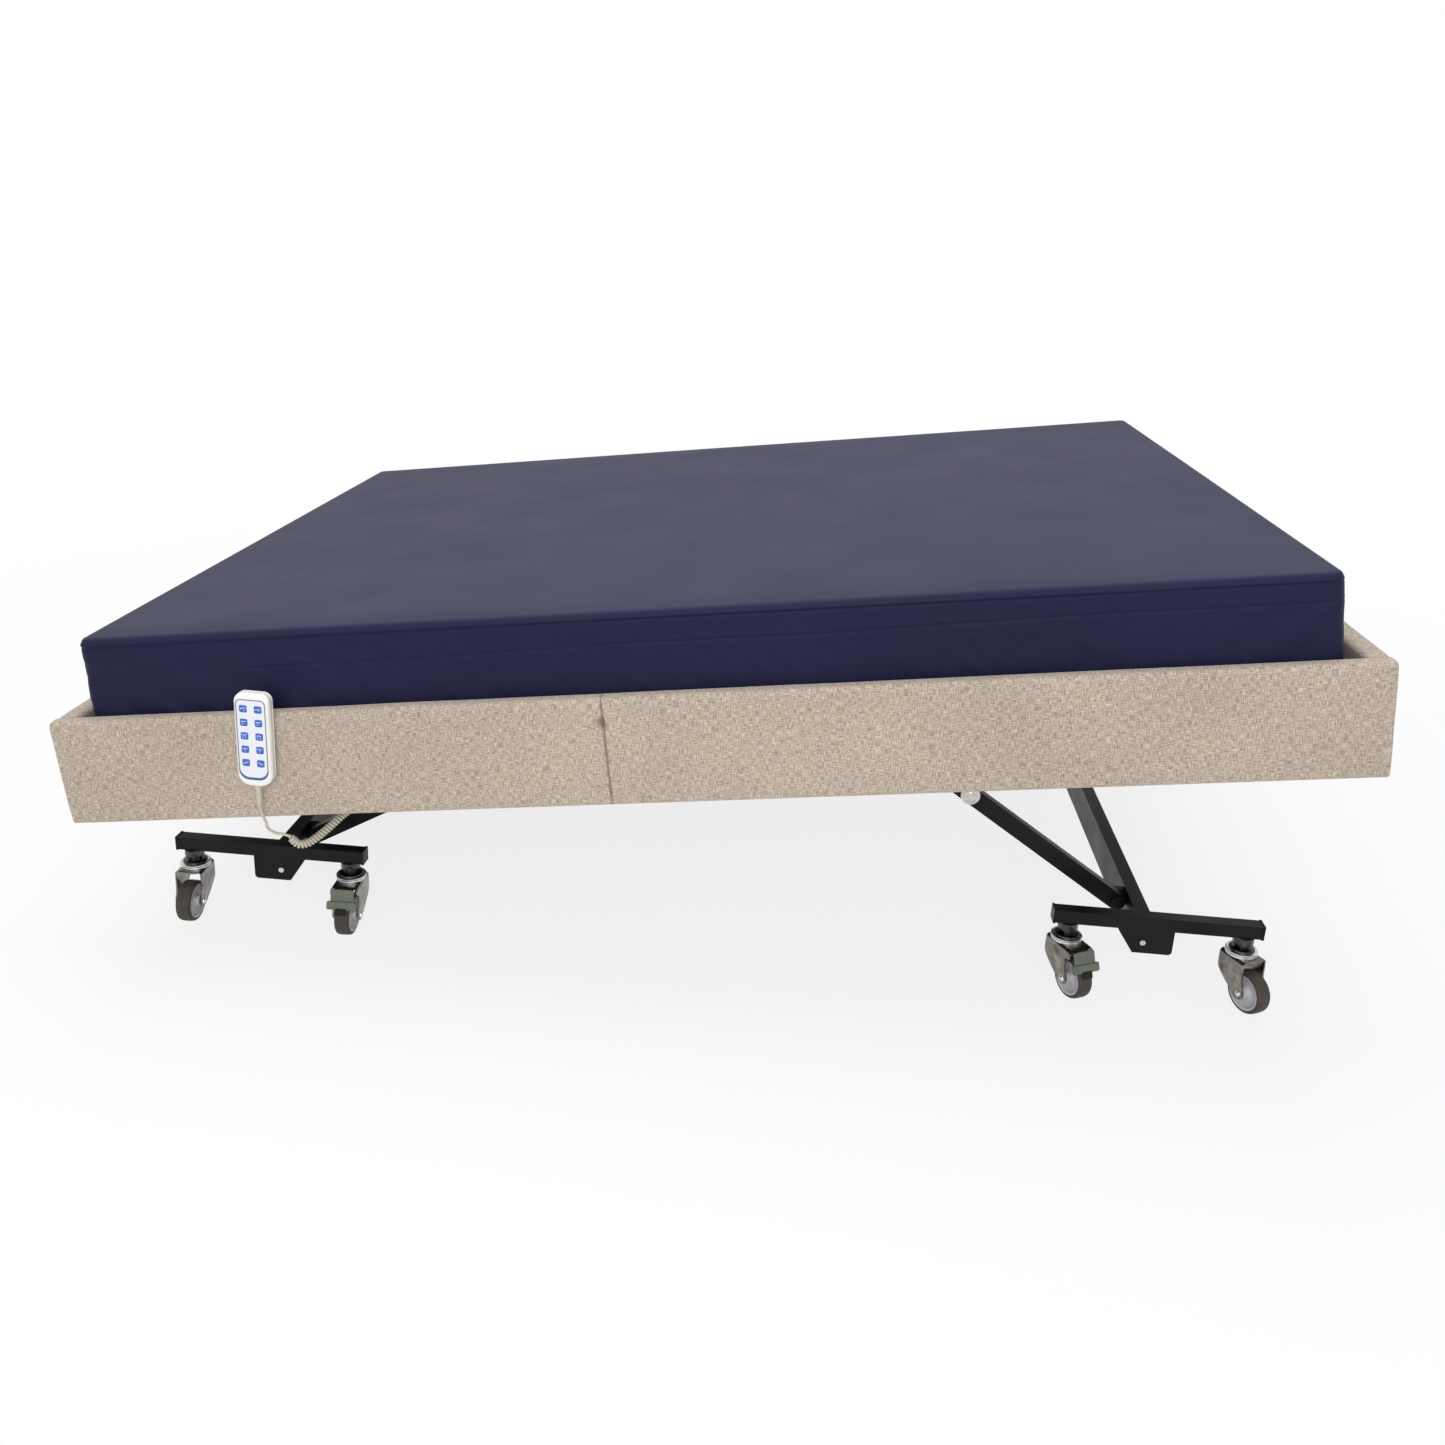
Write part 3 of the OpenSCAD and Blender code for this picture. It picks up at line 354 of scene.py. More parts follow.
def wrapped_board(name, node, start, end, high, place, seed, seam=None):
    """Board from start to end of its length: the outline shrinks by a quarter circle at
    each end, the outer face swells with the padding, and a sewn seam is a narrow
    valley with two soft shoulders. place holds what turns (along, inwards, up) into
    the frame, the thickness, and whether the outline then runs the other way round."""
    into_frame, thick, turned_round = place
    outline = board_profile(thick, high)
    r = 0.005
    q = np.linspace(0, np.pi / 2, 6)
    along = np.concatenate([start + r - r * np.cos(q), np.linspace(start + r, end - r, 260)[1:-1],
                            end - r + r * np.sin(q)])
    pull = np.concatenate([r - r * np.sin(q), np.zeros(258), r - r * np.cos(q)])
    if seam is not None:
        extra = seam + np.concatenate([np.linspace(-0.016, -0.004, 7), np.linspace(-0.003, 0.003, 13),
                                       np.linspace(0.004, 0.016, 7)])
        keep = np.abs(along - seam) > 0.0165
        pull = np.concatenate([pull[keep], np.zeros(len(extra))])
        along = np.concatenate([along[keep], extra])
        order = np.argsort(along)
        along, pull = along[order], pull[order]
    mid = np.array([thick / 2, high / 2])
    inward = outline[None, :, 0] + 0 * along[:, None]
    upward = outline[None, :, 1] + 0 * along[:, None]
    inward = mid[0] + (inward - mid[0]) * (1 - pull[:, None] / mid[0])
    upward = mid[1] + (upward - mid[1]) * (1 - pull[:, None] / mid[1])
    a2 = along[:, None] + 0 * inward
    out_from, up_to = outline[None, :, 0], outline[None, :, 1]
    on_outer = (np.clip(1 - out_from / 0.006, 0, 1) * np.clip((up_to - 0.002) / 0.02, 0, 1)
                * np.clip((high - up_to) / 0.02, 0, 1))
    swell = (0.0012 * on_outer * (1 + 0.6 * ripple(a2, upward, seed, 0.22))
             + 0.00035 * on_outer * ripple(a2, upward, seed + 1, 0.045))
    if seam is not None:
        d = (a2 - seam) / 0.0018
        swell += on_outer * (-0.0028 * np.exp(-d ** 2) + 0.0005 * np.exp(-((np.abs(d) - 4.5) / 2.6) ** 2)
                             + 0.0004 * np.exp(-(d / 9) ** 2) * np.sin(upward / 0.0036))
        # a thread pulled in the cloth beside the seam, with short folds running out of it
        ox, oz = a2 - (seam - tuft_before_seam), upward - tuft_up
        away = np.hypot(ox, oz)
        swell += (on_outer * 0.0040 * np.exp(-(away / 0.011) ** 2) * np.cos(6 * np.arctan2(oz, ox) + 0.6)
                  * np.clip(away / 0.003, 0, 1))
        swell -= on_outer * 0.0016 * np.exp(-(away / 0.004) ** 2)
    inward = inward - swell
    upward = (upward + 0.0004 * ripple(a2, upward * 0, seed + 2, 0.3)
              * np.clip((up_to - high + 0.02) / 0.02, 0, 1))
    around = along_curve(outline)
    points = into_frame(a2, inward, upward)
    if turned_round:
        points, around, a2, upward = points[:, ::-1], around[::-1], a2[:, ::-1], upward[:, ::-1]
    piece = surface(name, points, wrap_cols=True, uv=(along, around))
    if seam is not None:
        # painted shade: the cloth is darkened in the seam's valley and round the pulled thread, kept as a
        # point attribute for the cloth's colour
        crease_shade = np.exp(-((a2 - seam) / 0.0022) ** 2)
        pulled = np.exp(-(np.hypot(a2 - (seam - tuft_before_seam), upward - tuft_up) / 0.007) ** 2)
        shade_layer = piece.data.attributes.new("crease_shade", "FLOAT", "POINT")
        shade_layer.data.foreach_set("value", np.clip(0.75 * crease_shade + 0.8 * pulled, 0, 1).ravel())
    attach(piece, "platform")
    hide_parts(node)
    return piece


boards = [
    wrapped_board("side_board_near", "surround_near", 0.0, bed_long, board_high,
                  (on_deck, side_thick, False), 11, seam_at),
    wrapped_board("side_board_far", "surround_far", 0.0, bed_long, board_high,
                  (lambda a, i, w: on_deck(a, bed_wide - i, w), side_thick, True), 12),
    wrapped_board("end_board_head", "surround_head", *end_boards, board_high,
                  (lambda a, i, w: on_deck(i, a, w), end_thick, True), 13),
    wrapped_board("end_board_foot", "surround_foot", *end_boards, board_high,
                  (lambda a, i, w: on_deck(bed_long - i, a, w), end_thick, False), 14),
]


def shader_group(name, ins, outs):
    """Node group with the named inputs (name: (socket type, default)) and outputs."""
    g = bpy.data.node_groups.new(name, "ShaderNodeTree")
    for label, (kind, value) in ins.items():
        s = g.interface.new_socket(label, in_out="INPUT", socket_type=kind)
        if value is not None:
            s.default_value = value
    for label, kind in outs.items():
        g.interface.new_socket(label, in_out="OUTPUT", socket_type=kind)
    return g, g.nodes, g.links, g.nodes.new("NodeGroupInput"), g.nodes.new("NodeGroupOutput")


def put(nodes, links, kind, values=None, into=None, **settings):
    """New node with settings, its input values and the links into it, by input name or number."""
    made = nodes.new(kind)
    for key, value in settings.items():
        setattr(made, key, value)
    for key, value in (values or {}).items():
        made.inputs[key].default_value = value
    for key, source in (into or {}).items():
        links.new(source, made.inputs[key])
    return made


# slubby plain weave: long thick and thin threads both ways, over a fine over-and-under
slub, gn, gl, gi, go = shader_group(
    "slubby weave",
    {"Vector": ("NodeSocketVector", None), "Thread Pitch": ("NodeSocketFloat", weave_pitch)},
    {"Tone": "NodeSocketFloat", "Height": "NodeSocketFloat"})


def streak(stretch, detail):
    """Noise drawn out along one thread direction."""
    m = put(gn, gl, "ShaderNodeMapping", {"Scale": stretch}, {"Vector": gi.outputs["Vector"]})
    drawn = put(gn, gl, "ShaderNodeTexNoise", {"Scale": 1.0, "Detail": detail, "Roughness": 0.6},
                {"Vector": m.outputs[0]})
    return drawn.outputs[0]


weft = streak((85, 900, 1), 2)
warp = streak((900, 85, 1), 2)
fleck = streak((420, 420, 1), 4)
both = put(gn, gl, "ShaderNodeMath", operation="ADD", into={0: weft, 1: warp})
mixed = put(gn, gl, "ShaderNodeMath", operation="MULTIPLY_ADD", values={1: 1.1, 2: 0.0},
            into={0: both.outputs[0]})
toned = put(gn, gl, "ShaderNodeMath", operation="MULTIPLY_ADD", values={1: 0.25},
            into={0: fleck, 2: mixed.outputs[0]})
spread = put(gn, gl, "ShaderNodeMapRange", {"From Min": 0.98, "From Max": 1.47}, {"Value": toned.outputs[0]})
gl.new(spread.outputs["Result"], go.inputs["Tone"])
cut = put(gn, gl, "ShaderNodeSeparateXYZ", into={0: gi.outputs["Vector"]})
waves = []
for k in (0, 1):
    threads = put(gn, gl, "ShaderNodeMath", operation="DIVIDE",
                  into={0: cut.outputs[k], 1: gi.outputs["Thread Pitch"]})
    angle = put(gn, gl, "ShaderNodeMath", operation="MULTIPLY", values={1: 6.2832},
                into={0: threads.outputs[0]})
    waves.append(put(gn, gl, "ShaderNodeMath", operation="SINE", into={0: angle.outputs[0]}).outputs[0])
lattice = put(gn, gl, "ShaderNodeMath", operation="MULTIPLY", into={0: waves[0], 1: waves[1]})
height = put(gn, gl, "ShaderNodeMath", operation="MULTIPLY_ADD", values={1: 0.35},
             into={0: lattice.outputs[0], 2: spread.outputs["Result"]})
gl.new(height.outputs[0], go.inputs["Height"])

linen, n, l, bsdf = material("oatmeal linen cloth")
cloth_uv = put(n, l, "ShaderNodeUVMap", uv_map="UVMap")
weave = put(n, l, "ShaderNodeGroup", {"Thread Pitch": weave_pitch}, node_tree=slub)
l.new(cloth_uv.outputs[0], weave.inputs["Vector"])
ramp = put(n, l, "ShaderNodeValToRGB", into={0: weave.outputs["Tone"]})
ramp.color_ramp.elements[0].color = (0.27, 0.208, 0.155, 1)
ramp.color_ramp.elements[1].color = (0.74, 0.645, 0.545, 1)
mid_tone = ramp.color_ramp.elements.new(0.5)
mid_tone.color = (0.50, 0.414, 0.336, 1)
where = put(n, l, "ShaderNodeTexCoord")
blotch = put(n, l, "ShaderNodeTexNoise", {"Scale": 5.0, "Detail": 4.0}, {"Vector": where.outputs["Object"]})
soil = put(n, l, "ShaderNodeMapRange", {"From Min": 0.35, "From Max": 0.75, "To Min": 1.0, "To Max": 0.88},
           {"Value": blotch.outputs[0]})
# painted shade from the seam attribute darkens the cloth along the seam and round the pulled thread; it is
# multiplied with the real soil blotches above
crease_at = put(n, l, "ShaderNodeAttribute", attribute_name="crease_shade")
seam_shading = put(n, l, "ShaderNodeMapRange", {"To Min": 1.0, "To Max": 0.45}, {"Value": crease_at.outputs["Fac"]})
soil_and_shade = put(n, l, "ShaderNodeMath", operation="MULTIPLY",
           into={0: soil.outputs["Result"], 1: seam_shading.outputs["Result"]})
shade = put(n, l, "ShaderNodeVectorMath", operation="SCALE",
            into={0: ramp.outputs[0], "Scale": soil_and_shade.outputs[0]})
l.new(shade.outputs[0], bsdf.inputs["Base Color"])
bump = put(n, l, "ShaderNodeBump", {"Strength": 0.5, "Distance": 0.0006}, {"Height": weave.outputs["Height"]})
l.new(bump.outputs[0], bsdf.inputs["Normal"])
bsdf.inputs["Roughness"].default_value = 0.85
bsdf.inputs["Specular IOR Level"].default_value = 0.25
bsdf.inputs["Sheen Weight"].default_value = 0.25
bsdf.inputs["Sheen Roughness"].default_value = 0.4
for board in boards:
    board.data.materials.append(linen)


# ---------------------------------------------------------------------------
# Mattress: one thick foam block in a wipe-clean navy cover with a welded cord
# under its top edge, a second seam above the zip flap, and slack cloth on its
# sides. It lies on the deck inside the surround, cut into three pieces at the deck's folds.
# ---------------------------------------------------------------------------
mattress_from, mattress_to = 0.055, 2.107
mattress_side = (0.0332, 1.5568)
mattress_low, mattress_top = 0.1426, 0.322
corner_turn = 0.020
end_lean = 0.008
top_turn = 0.012


def cover_relief(u, w, side):
    """How far the slack cover stands out from the foam's side, in metres: the welded
    cord and seam lines, diagonal pulls near the head end, and soft upright folds."""
    s = -1 if side == 0 else 1
    out = 0.0024 * np.exp(-((w - 0.3115) / 0.0023) ** 2) - 0.0020 * np.exp(-((w - 0.3068) / 0.0019) ** 2)
    seam_w = 0.2665 + 0.012 * (u - 1.05) + 0.0016 * np.sin(u * 9 + s)
    out = (out - 0.0016 * np.exp(-((w - seam_w) / 0.0016) ** 2)
           + 0.0005 * np.exp(-((w - seam_w - 0.004) / 0.0025) ** 2))
    hang = np.clip((0.306 - w) / 0.03, 0, 1) * np.clip((w - 0.15) / 0.03, 0, 1)
    out = out + hang * (0.0016 * ripple(u, w * 0.6, 21 + side, 0.16)
                        + 0.0007 * ripple(u * 1.5 + w * 1.3, w, 25 + side, 0.05))
    head_pull = np.clip(1 - (u - 0.069) / 0.75, 0, 1) ** 1.3
    lean = np.sin((u * 1.0 + (w - 0.25) * 1.15) / 0.0165 + 2.2 * ripple(u, w, 31, 0.2))
    out = out + hang * head_pull * 0.0022 * np.clip(lean, -0.35, 1)
    foot_pull = np.clip((u - 1.75) / 0.34, 0, 1) ** 1.5
    lean = np.sin((u * 1.0 - (w - 0.25) * 1.5) / 0.019 + 2.0 * ripple(u, w, 33, 0.2))
    return out + hang * foot_pull * 0.0011 * np.clip(lean, -0.35, 1)


fold_back, fold_thigh = 1.000, 1.280
end_steps = np.array([0, 0.0003, 0.001, 0.0022, 0.004, 0.0065, 0.0095, 0.013, 0.0165, 0.020, 0.026, 0.033,
                      0.041, 0.050])
stations = np.unique(np.concatenate([
    mattress_from + end_steps, np.linspace(mattress_from + 0.056, mattress_to - 0.056, 334),
    mattress_to - end_steps, [fold_back, fold_thigh]]))
inset = np.minimum(stations - mattress_from, mattress_to - stations)


def drawn_in(radius):
    """How far a round edge of that radius has drawn in at each station near the ends."""
    return radius - np.sqrt(np.maximum(radius ** 2 - np.clip(radius - inset, 0, None) ** 2, 0))


plan_turn = drawn_in(corner_turn)
end_turn = drawn_in(top_turn)
tall = mattress_top - mattress_low
quarter = np.linspace(0, np.pi / 2, 8)
side_up = np.concatenate([np.linspace(0.0, 0.088, 16), np.linspace(0.092, 0.150, 22),
                          np.linspace(0.1515, tall - top_turn, 13)])
half = (mattress_side[1] - mattress_side[0]) / 2
mid_v = sum(mattress_side) / 2


def half_section(i_side):
    """One side's columns from the middle of the bottom to the middle of the top:
    half width and height at each station, with the relief put on the side."""
    s = -1 if i_side == 0 else 1
    wide = (half - plan_turn)[:, None]
    high = (tall - end_turn)[:, None]
    lift = side_up / (tall - top_turn)
    v_bottom = np.linspace(0, 1, 9)[:-1][None, :] * wide
    w_bottom = 0 * v_bottom
    w_side = lift[None, :] * (high - top_turn)
    v_side = wide + 0 * w_side
    v_turn = wide - top_turn + top_turn * np.cos(quarter[1:-1])[None, :]
    w_turn = high - top_turn + top_turn * np.sin(quarter[1:-1])[None, :] + 0 * wide
    reach = 1 - np.linspace(0, 1, 31) ** 0.8
    v_top = (wide - top_turn) * reach[None, :]
    w_top = high + 0 * v_top
    v = np.hstack([v_bottom, v_side, v_turn, v_top])
    w = np.hstack([w_bottom, w_side, w_turn, w_top]) + mattress_low
    uu = stations[:, None] + 0 * v
    onside = np.hstack([0 * v_bottom, np.ones_like(v_side), np.cos(quarter[1:-1])[None, :] + 0 * v_turn,
                        0 * v_top])
    v = v + onside * cover_relief(uu, w, i_side)
    ontop = np.hstack([0 * v_bottom, 0 * v_side, np.sin(quarter[1:-1])[None, :] + 0 * v_turn,
                       np.ones_like(v_top)])
    edge = (np.clip(np.minimum(uu - mattress_from, mattress_to - uu) / 0.05, 0, 1)
            * np.clip((half - v) / 0.05, 0, 1))
    w = w + ontop * edge * (0.0022 * ripple(uu, s * v, 41, 0.75) + 0.0004 * ripple(uu, s * v, 43, 0.12))
    return mid_v + s * v, w


v0, w0 = half_section(0)
v1, w1 = half_section(1)
cover_v = np.hstack([v0, v1[:, ::-1][:, 1:-1]])
cover_w = np.hstack([w0, w1[:, ::-1][:, 1:-1]])
cover_u = stations[:, None] + 0 * cover_v
# the end faces lean in towards the top and bow out a little between their corners
near_head = np.clip(1 - (stations - mattress_from) / 0.12, 0, 1)
near_foot = np.clip(1 - (mattress_to - stations) / 0.12, 0, 1)
cover_u = cover_u + end_lean * (near_head - near_foot)[:, None] * (cover_w - mattress_low) / tall
bow = (0.003 * np.clip(1 - ((cover_v - mid_v) / half) ** 2, 0, 1)
       * np.clip((cover_w - mattress_low) / 0.05, 0, 1) * np.clip((mattress_top - cover_w) / 0.03, 0, 1))
at_ends = (np.clip(1 - (stations - mattress_from) / 0.02, 0, 1) * -1
           + np.clip(1 - (mattress_to - stations) / 0.02, 0, 1))
cover_u = cover_u + bow * at_ends[:, None]
cover = on_deck(cover_u, cover_v, cover_w)

navy, n, l, bsdf = material("wipe-clean navy cover")
where = put(n, l, "ShaderNodeTexCoord")
cloud = put(n, l, "ShaderNodeTexNoise", {"Scale": 2.2, "Detail": 3.0}, {"Vector": where.outputs["Object"]})
tint = put(n, l, "ShaderNodeValToRGB", into={0: cloud.outputs[0]})
tint.color_ramp.elements[0].position, tint.color_ramp.elements[1].position = 0.3, 0.7
tint.color_ramp.elements[0].color = (0.0080, 0.0080, 0.031, 1)
tint.color_ramp.elements[1].color = (0.0098, 0.0098, 0.037, 1)
l.new(tint.outputs[0], bsdf.inputs["Base Color"])
dull = put(n, l, "ShaderNodeTexNoise", {"Scale": 6.0, "Detail": 5.0}, {"Vector": where.outputs["Object"]})
gloss = put(n, l, "ShaderNodeMapRange", {"From Min": 0.3, "From Max": 0.7, "To Min": 0.54, "To Max": 0.59},
            {"Value": dull.outputs[0]})
l.new(gloss.outputs["Result"], bsdf.inputs["Roughness"])
pebble = put(n, l, "ShaderNodeTexNoise", {"Scale": 900.0, "Detail": 2.0}, {"Vector": where.outputs["Object"]})
slack = put(n, l, "ShaderNodeTexNoise", {"Scale": 34.0, "Detail": 4.0, "Distortion": 0.4},
            {"Vector": where.outputs["Object"]})
fine = put(n, l, "ShaderNodeBump", {"Strength": 0.15, "Distance": 0.0002}, {"Height": pebble.outputs[0]})
bump = put(n, l, "ShaderNodeBump", {"Strength": 0.25, "Distance": 0.0015},
           {"Height": slack.outputs[0], "Normal": fine.outputs[0]})
l.new(bump.outputs[0], bsdf.inputs["Normal"])
bsdf.inputs["Specular IOR Level"].default_value = 0.22
bsdf.inputs["Specular Tint"].default_value = (0.70, 0.73, 1.0, 1)

# each piece takes the stations between its two ends, and the line on a fold is in both its pieces
past = 0.0001
folds = [("mattress_head_end", 0.0, fold_back + past, "back_section", "platform", 0.570, 0.985,
          ("back_mattress", "seat_mattress")),
         ("mattress_middle", fold_back - past, fold_thigh + past, "platform", "thigh_section", 1.010, 1.265,
          ("thigh_mattress",)),
         ("mattress_foot_end", fold_thigh - past, 3.0, "thigh_section", "calf_section", 1.300, 1.560,
          ("calf_mattress",))]
whole = surface("whole_cover", cover, wrap_cols=True)
even = np.array([v.normal[:] for v in whole.data.vertices]).reshape(cover.shape)
bpy.data.meshes.remove(whole.data)
for name, lo, hi, body_a, body_b, bend_from, bend_to, stands_for in folds:
    own = (stations > lo) & (stations < hi)
    piece = surface(name, cover[own], wrap_cols=True, uv=(stations[own], np.arange(cover.shape[1]) * 0.012))
    piece.data.normals_split_custom_set_from_vertices(even[own].reshape(-1, 3).tolist())
    piece.data.materials.append(navy)
    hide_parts(*stands_for)
    tuple(on_deck(bend_from, bed_wide / 2, hinge_w).tolist())
    tuple(on_deck(bend_to, bed_wide / 2, hinge_w).tolist())
    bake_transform(piece)


# ---------------------------------------------------------------------------
# Handset: a white ABS shell that hooks over the side board and hangs plumb. Its
# printed film is framed by a dark blue line that widens to a band at the foot,
# and ten soft blue keys with light pictograms stand through it in two columns.
# ---------------------------------------------------------------------------
hang_from = np.array([-0.712233, -0.8084, 0.560])
hang_lean = np.radians(1.0)
case_size = (0.060, 0.165, 0.024)
film_size = (0.050, 0.143)
film_low = 0.013


def on_handset(x, y, z):
    """Row-frame points of handset places (right of its middle, back from its face, up
    from its foot), leaning about its top by the hang angle."""
    x, y, z = np.broadcast_arrays(np.asarray(x, float), y, z)
    dz = z - case_size[1]
    c, s = np.cos(hang_lean), np.sin(hang_lean)
    return hang_from + np.stack([x * c + dz * s, y, -x * s + dz * c], -1)


def soft_rectangle(wide, low, high, r_top, r_low, inset, per_corner=10, per_edge=6):
    """Rounded rectangle set in by inset, as a closed loop (x, z): four quarter circles
    whose radii shrink with the inset, joined by straight runs."""
    hw = wide / 2 - inset
    z0, z1 = low + inset, high - inset
    rt = np.clip(max(r_top - inset, 0.0006), 0, min(hw, (z1 - z0) / 2) * 0.999)
    rl = np.clip(max(r_low - inset, 0.0006), 0, min(hw, (z1 - z0) / 2) * 0.999)
    q = np.linspace(0, np.pi / 2, per_corner)
    corners = [(hw - rt, z1 - rt, rt, 0), (-hw + rt, z1 - rt, rt, 1),
               (-hw + rl, z0 + rl, rl, 2), (hw - rl, z0 + rl, rl, 3)]
    arcs = [np.stack([cx + r * np.cos(q + k * np.pi / 2), cz + r * np.sin(q + k * np.pi / 2)], 1)
            for cx, cz, r, k in corners]
    loop = []
    for k, arc in enumerate(arcs):
        nxt = arcs[(k + 1) % 4][0]
        loop += [arc, arc[-1] + (nxt - arc[-1]) * np.linspace(0, 1, per_edge + 2)[1:-1, None]]
    return np.vstack(loop)


def pressed_form(name, wide, low, high, r_top, r_low, levels, where):
    """Closed form built of rounded-rectangle rings: each level is (inset, depth), from
    the middle of the face, over its edge, down its side and across its back."""
    rings = [soft_rectangle(wide, low, high, r_top, r_low, d) for d, _ in levels]
    grid = np.stack([where(ring[:, 0], np.full(len(ring), depth), ring[:, 1])
                     for ring, (_, depth) in zip(rings, levels)])
    return surface(name, grid, wrap_cols=True)


def out_faces(piece):
    """Turns a closed piece's faces outwards."""
    bm = bmesh.new()
    bm.from_mesh(piece.data)
    bmesh.ops.recalc_face_normals(bm, faces=bm.faces)
    bm.to_mesh(piece.data)
    bm.free()
    return piece


case_levels = [(0.030, 0.0), (0.016, 0.0), (0.0075, 0.0), (0.0052, 0.0002), (0.0036, 0.0008),
               (0.0021, 0.0018),
               (0.0009, 0.0033), (0.0002, 0.0053), (0.0, 0.0080), (0.0, 0.0148), (0.0005, 0.0150),
               (0.0005, 0.0155), (0.0, 0.0157), (0.0002, 0.0195), (0.0011, 0.0218), (0.0026, 0.0233),
               (0.0046, 0.0239), (0.0075, 0.0240), (0.030, 0.0240)]
shell = out_faces(pressed_form("handset_shell", case_size[0], 0.0, case_size[1], 0.015, 0.022, case_levels,
                               on_handset))
_, hook_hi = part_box("handset_case")
hook_reach = float(hook_hi[1]) - hang_from[1]
hook_line = np.array([[0, 0.0232, 0.1272], [0, 0.030, 0.1274], [0, 0.050, 0.1274],
                      [0, hook_reach - 0.0022, 0.1272], [0, hook_reach - 0.0011, 0.1262],
                      [0, hook_reach - 0.0010, 0.1245], [0, hook_reach - 0.0010, 0.1080],
                      [0, hook_reach - 0.0010, 0.0966]])
lean_of = np.array([[0, 0, 1.0]] * 4 + [[0, 0.7, 0.7]] + [[0, 1.0, 0]] * 3)
strip = np.stack([hook_line + np.array([sx, 0, 0]) * 0.0088 + lean_of * sz * 0.0010
                  for sx, sz in ((-1, -1), (1, -1), (1, 1), (-1, 1))], 1)
hook = out_faces(surface("handset_hook", on_handset(strip[..., 0], strip[..., 1], strip[..., 2]),
                         wrap_cols=True, smooth=False))


def moulded(name, scale, detail, low, high, rough, grain=None):
    """Moulded or printed plastic: its colour clouds between two tones, and a grain of
    (scale, strength), a tenth of a millimetre deep, is its bump."""
    made, n, l, bsdf = material(name)
    where = put(n, l, "ShaderNodeTexCoord")
    cloud = put(n, l, "ShaderNodeTexNoise", {"Scale": scale, "Detail": detail},
                {"Vector": where.outputs["Object"]})
    tint = put(n, l, "ShaderNodeValToRGB", into={0: cloud.outputs[0]})
    tint.color_ramp.elements[0].color = (*low, 1)
    tint.color_ramp.elements[1].color = (*high, 1)
    l.new(tint.outputs[0], bsdf.inputs["Base Color"])
    bsdf.inputs["Roughness"].default_value = rough
    if grain is not None:
        skin = put(n, l, "ShaderNodeTexNoise", {"Scale": grain[0], "Detail": 2.0},
                   {"Vector": where.outputs["Object"]})
        bump = put(n, l, "ShaderNodeBump", {"Strength": grain[1], "Distance": 0.0001},
                   {"Height": skin.outputs[0]})
        l.new(bump.outputs[0], bsdf.inputs["Normal"])
    return made


abs_white = moulded("white moulded shell", 60.0, 4.0, (0.80, 0.785, 0.75), (0.90, 0.89, 0.87), 0.36,
                    (2600.0, 0.2))
for piece in (shell, hook):
    piece.data.materials.append(abs_white)
    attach(piece, "platform")
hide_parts("handset_case")

film_high = film_low + film_size[1]
film_levels = [(0.024, -0.0002), (0.010, -0.0002), (0.0008, -0.0002), (0.0, 0.0), (0.0, 0.0006),
               (0.024, 0.0006)]
film = out_faces(pressed_form("keypad_film", film_size[0], film_low, film_high, 0.0085, 0.0165, film_levels,
                              on_handset))
film_paint = moulded("printed keypad film", 900.0, 3.0, (0.72, 0.74, 0.82), (0.84, 0.85, 0.90), 0.45)
film.data.materials.append(film_paint)
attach(film, "platform")
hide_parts("handset_keypad")

outer = soft_rectangle(film_size[0], film_low, film_high, 0.0085, 0.0165, 0.0)
inner = soft_rectangle(film_size[0] - 0.0026, film_low + 0.0044, film_high - 0.0013, 0.0074, 0.0160, 0.0)
rim = np.stack([on_handset(k[:, 0], np.full(len(k), d), k[:, 1]) for k, d in
                ((outer, 0.0001), (outer, -0.0005), (inner, -0.0005), (inner, 0.0001))])
border = out_faces(surface("keypad_border", rim, wrap_rows=True, wrap_cols=True, smooth=False))
border_paint, n, l, bsdf = material("printed blue border")
where = put(n, l, "ShaderNodeTexCoord")
cut = put(n, l, "ShaderNodeSeparateXYZ", into={0: where.outputs["Object"]})
down = put(n, l, "ShaderNodeMapRange", {"From Min": 0.415, "From Max": 0.445}, {"Value": cut.outputs["Z"]})
tint = put(n, l, "ShaderNodeValToRGB", into={0: down.outputs["Result"]})
tint.color_ramp.elements[0].color = (0.055, 0.105, 0.33, 1)
tint.color_ramp.elements[1].color = (0.085, 0.115, 0.21, 1)
l.new(tint.outputs[0], bsdf.inputs["Base Color"])
bsdf.inputs["Roughness"].default_value = 0.4
border.data.materials.append(border_paint)
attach(border, "platform")

key_paint = moulded("soft blue key", 260.0, 3.0, (0.035, 0.095, 0.40), (0.060, 0.145, 0.52), 0.42)
sign_paint = moulded("light key print", 700.0, 2.0, (0.42, 0.60, 0.95), (0.62, 0.78, 1.0), 0.5)

# each pictogram: the bent line of a bed seen from the side, and the dots under it
signs = {"l1": ([(-0.8, 0.05), (-0.1, 0.30), (0.8, 0.35)], [(0.45, -0.45)]),
         "r1": ([(-0.8, 0.10), (0.0, 0.12), (0.8, 0.45)], [(0.45, -0.30)]),
         "l2": ([(-0.8, 0.50), (-0.2, 0.35), (0.8, 0.42)], [(-0.30, -0.32)]),
         "r2": ([(-0.8, 0.42), (0.2, 0.35), (0.8, 0.48)], [(-0.30, -0.30)]),
         "l3": ([(-0.8, 0.62), (0.0, 0.25), (0.8, 0.62)], [(-0.42, -0.40), (0.42, -0.40)]),
         "r3": ([(-0.8, 0.30), (0.0, 0.50), (0.8, 0.30)], [(-0.42, -0.35), (0.42, -0.45)]),
         "l4": ([(-0.8, 0.35), (0.0, 0.35), (0.8, 0.35)], [(0.0, -0.35)]),
         "r4": ([(-0.8, 0.45), (0.0, 0.40), (0.8, 0.45)], [(0.0, -0.30)]),
         "l5": ([(-0.8, -0.30), (0.0, 0.05), (0.8, 0.30)], []),
         "r5": ([(-0.8, 0.45), (0.0, 0.05), (0.8, -0.30)], [])}
sign_half = 0.0052
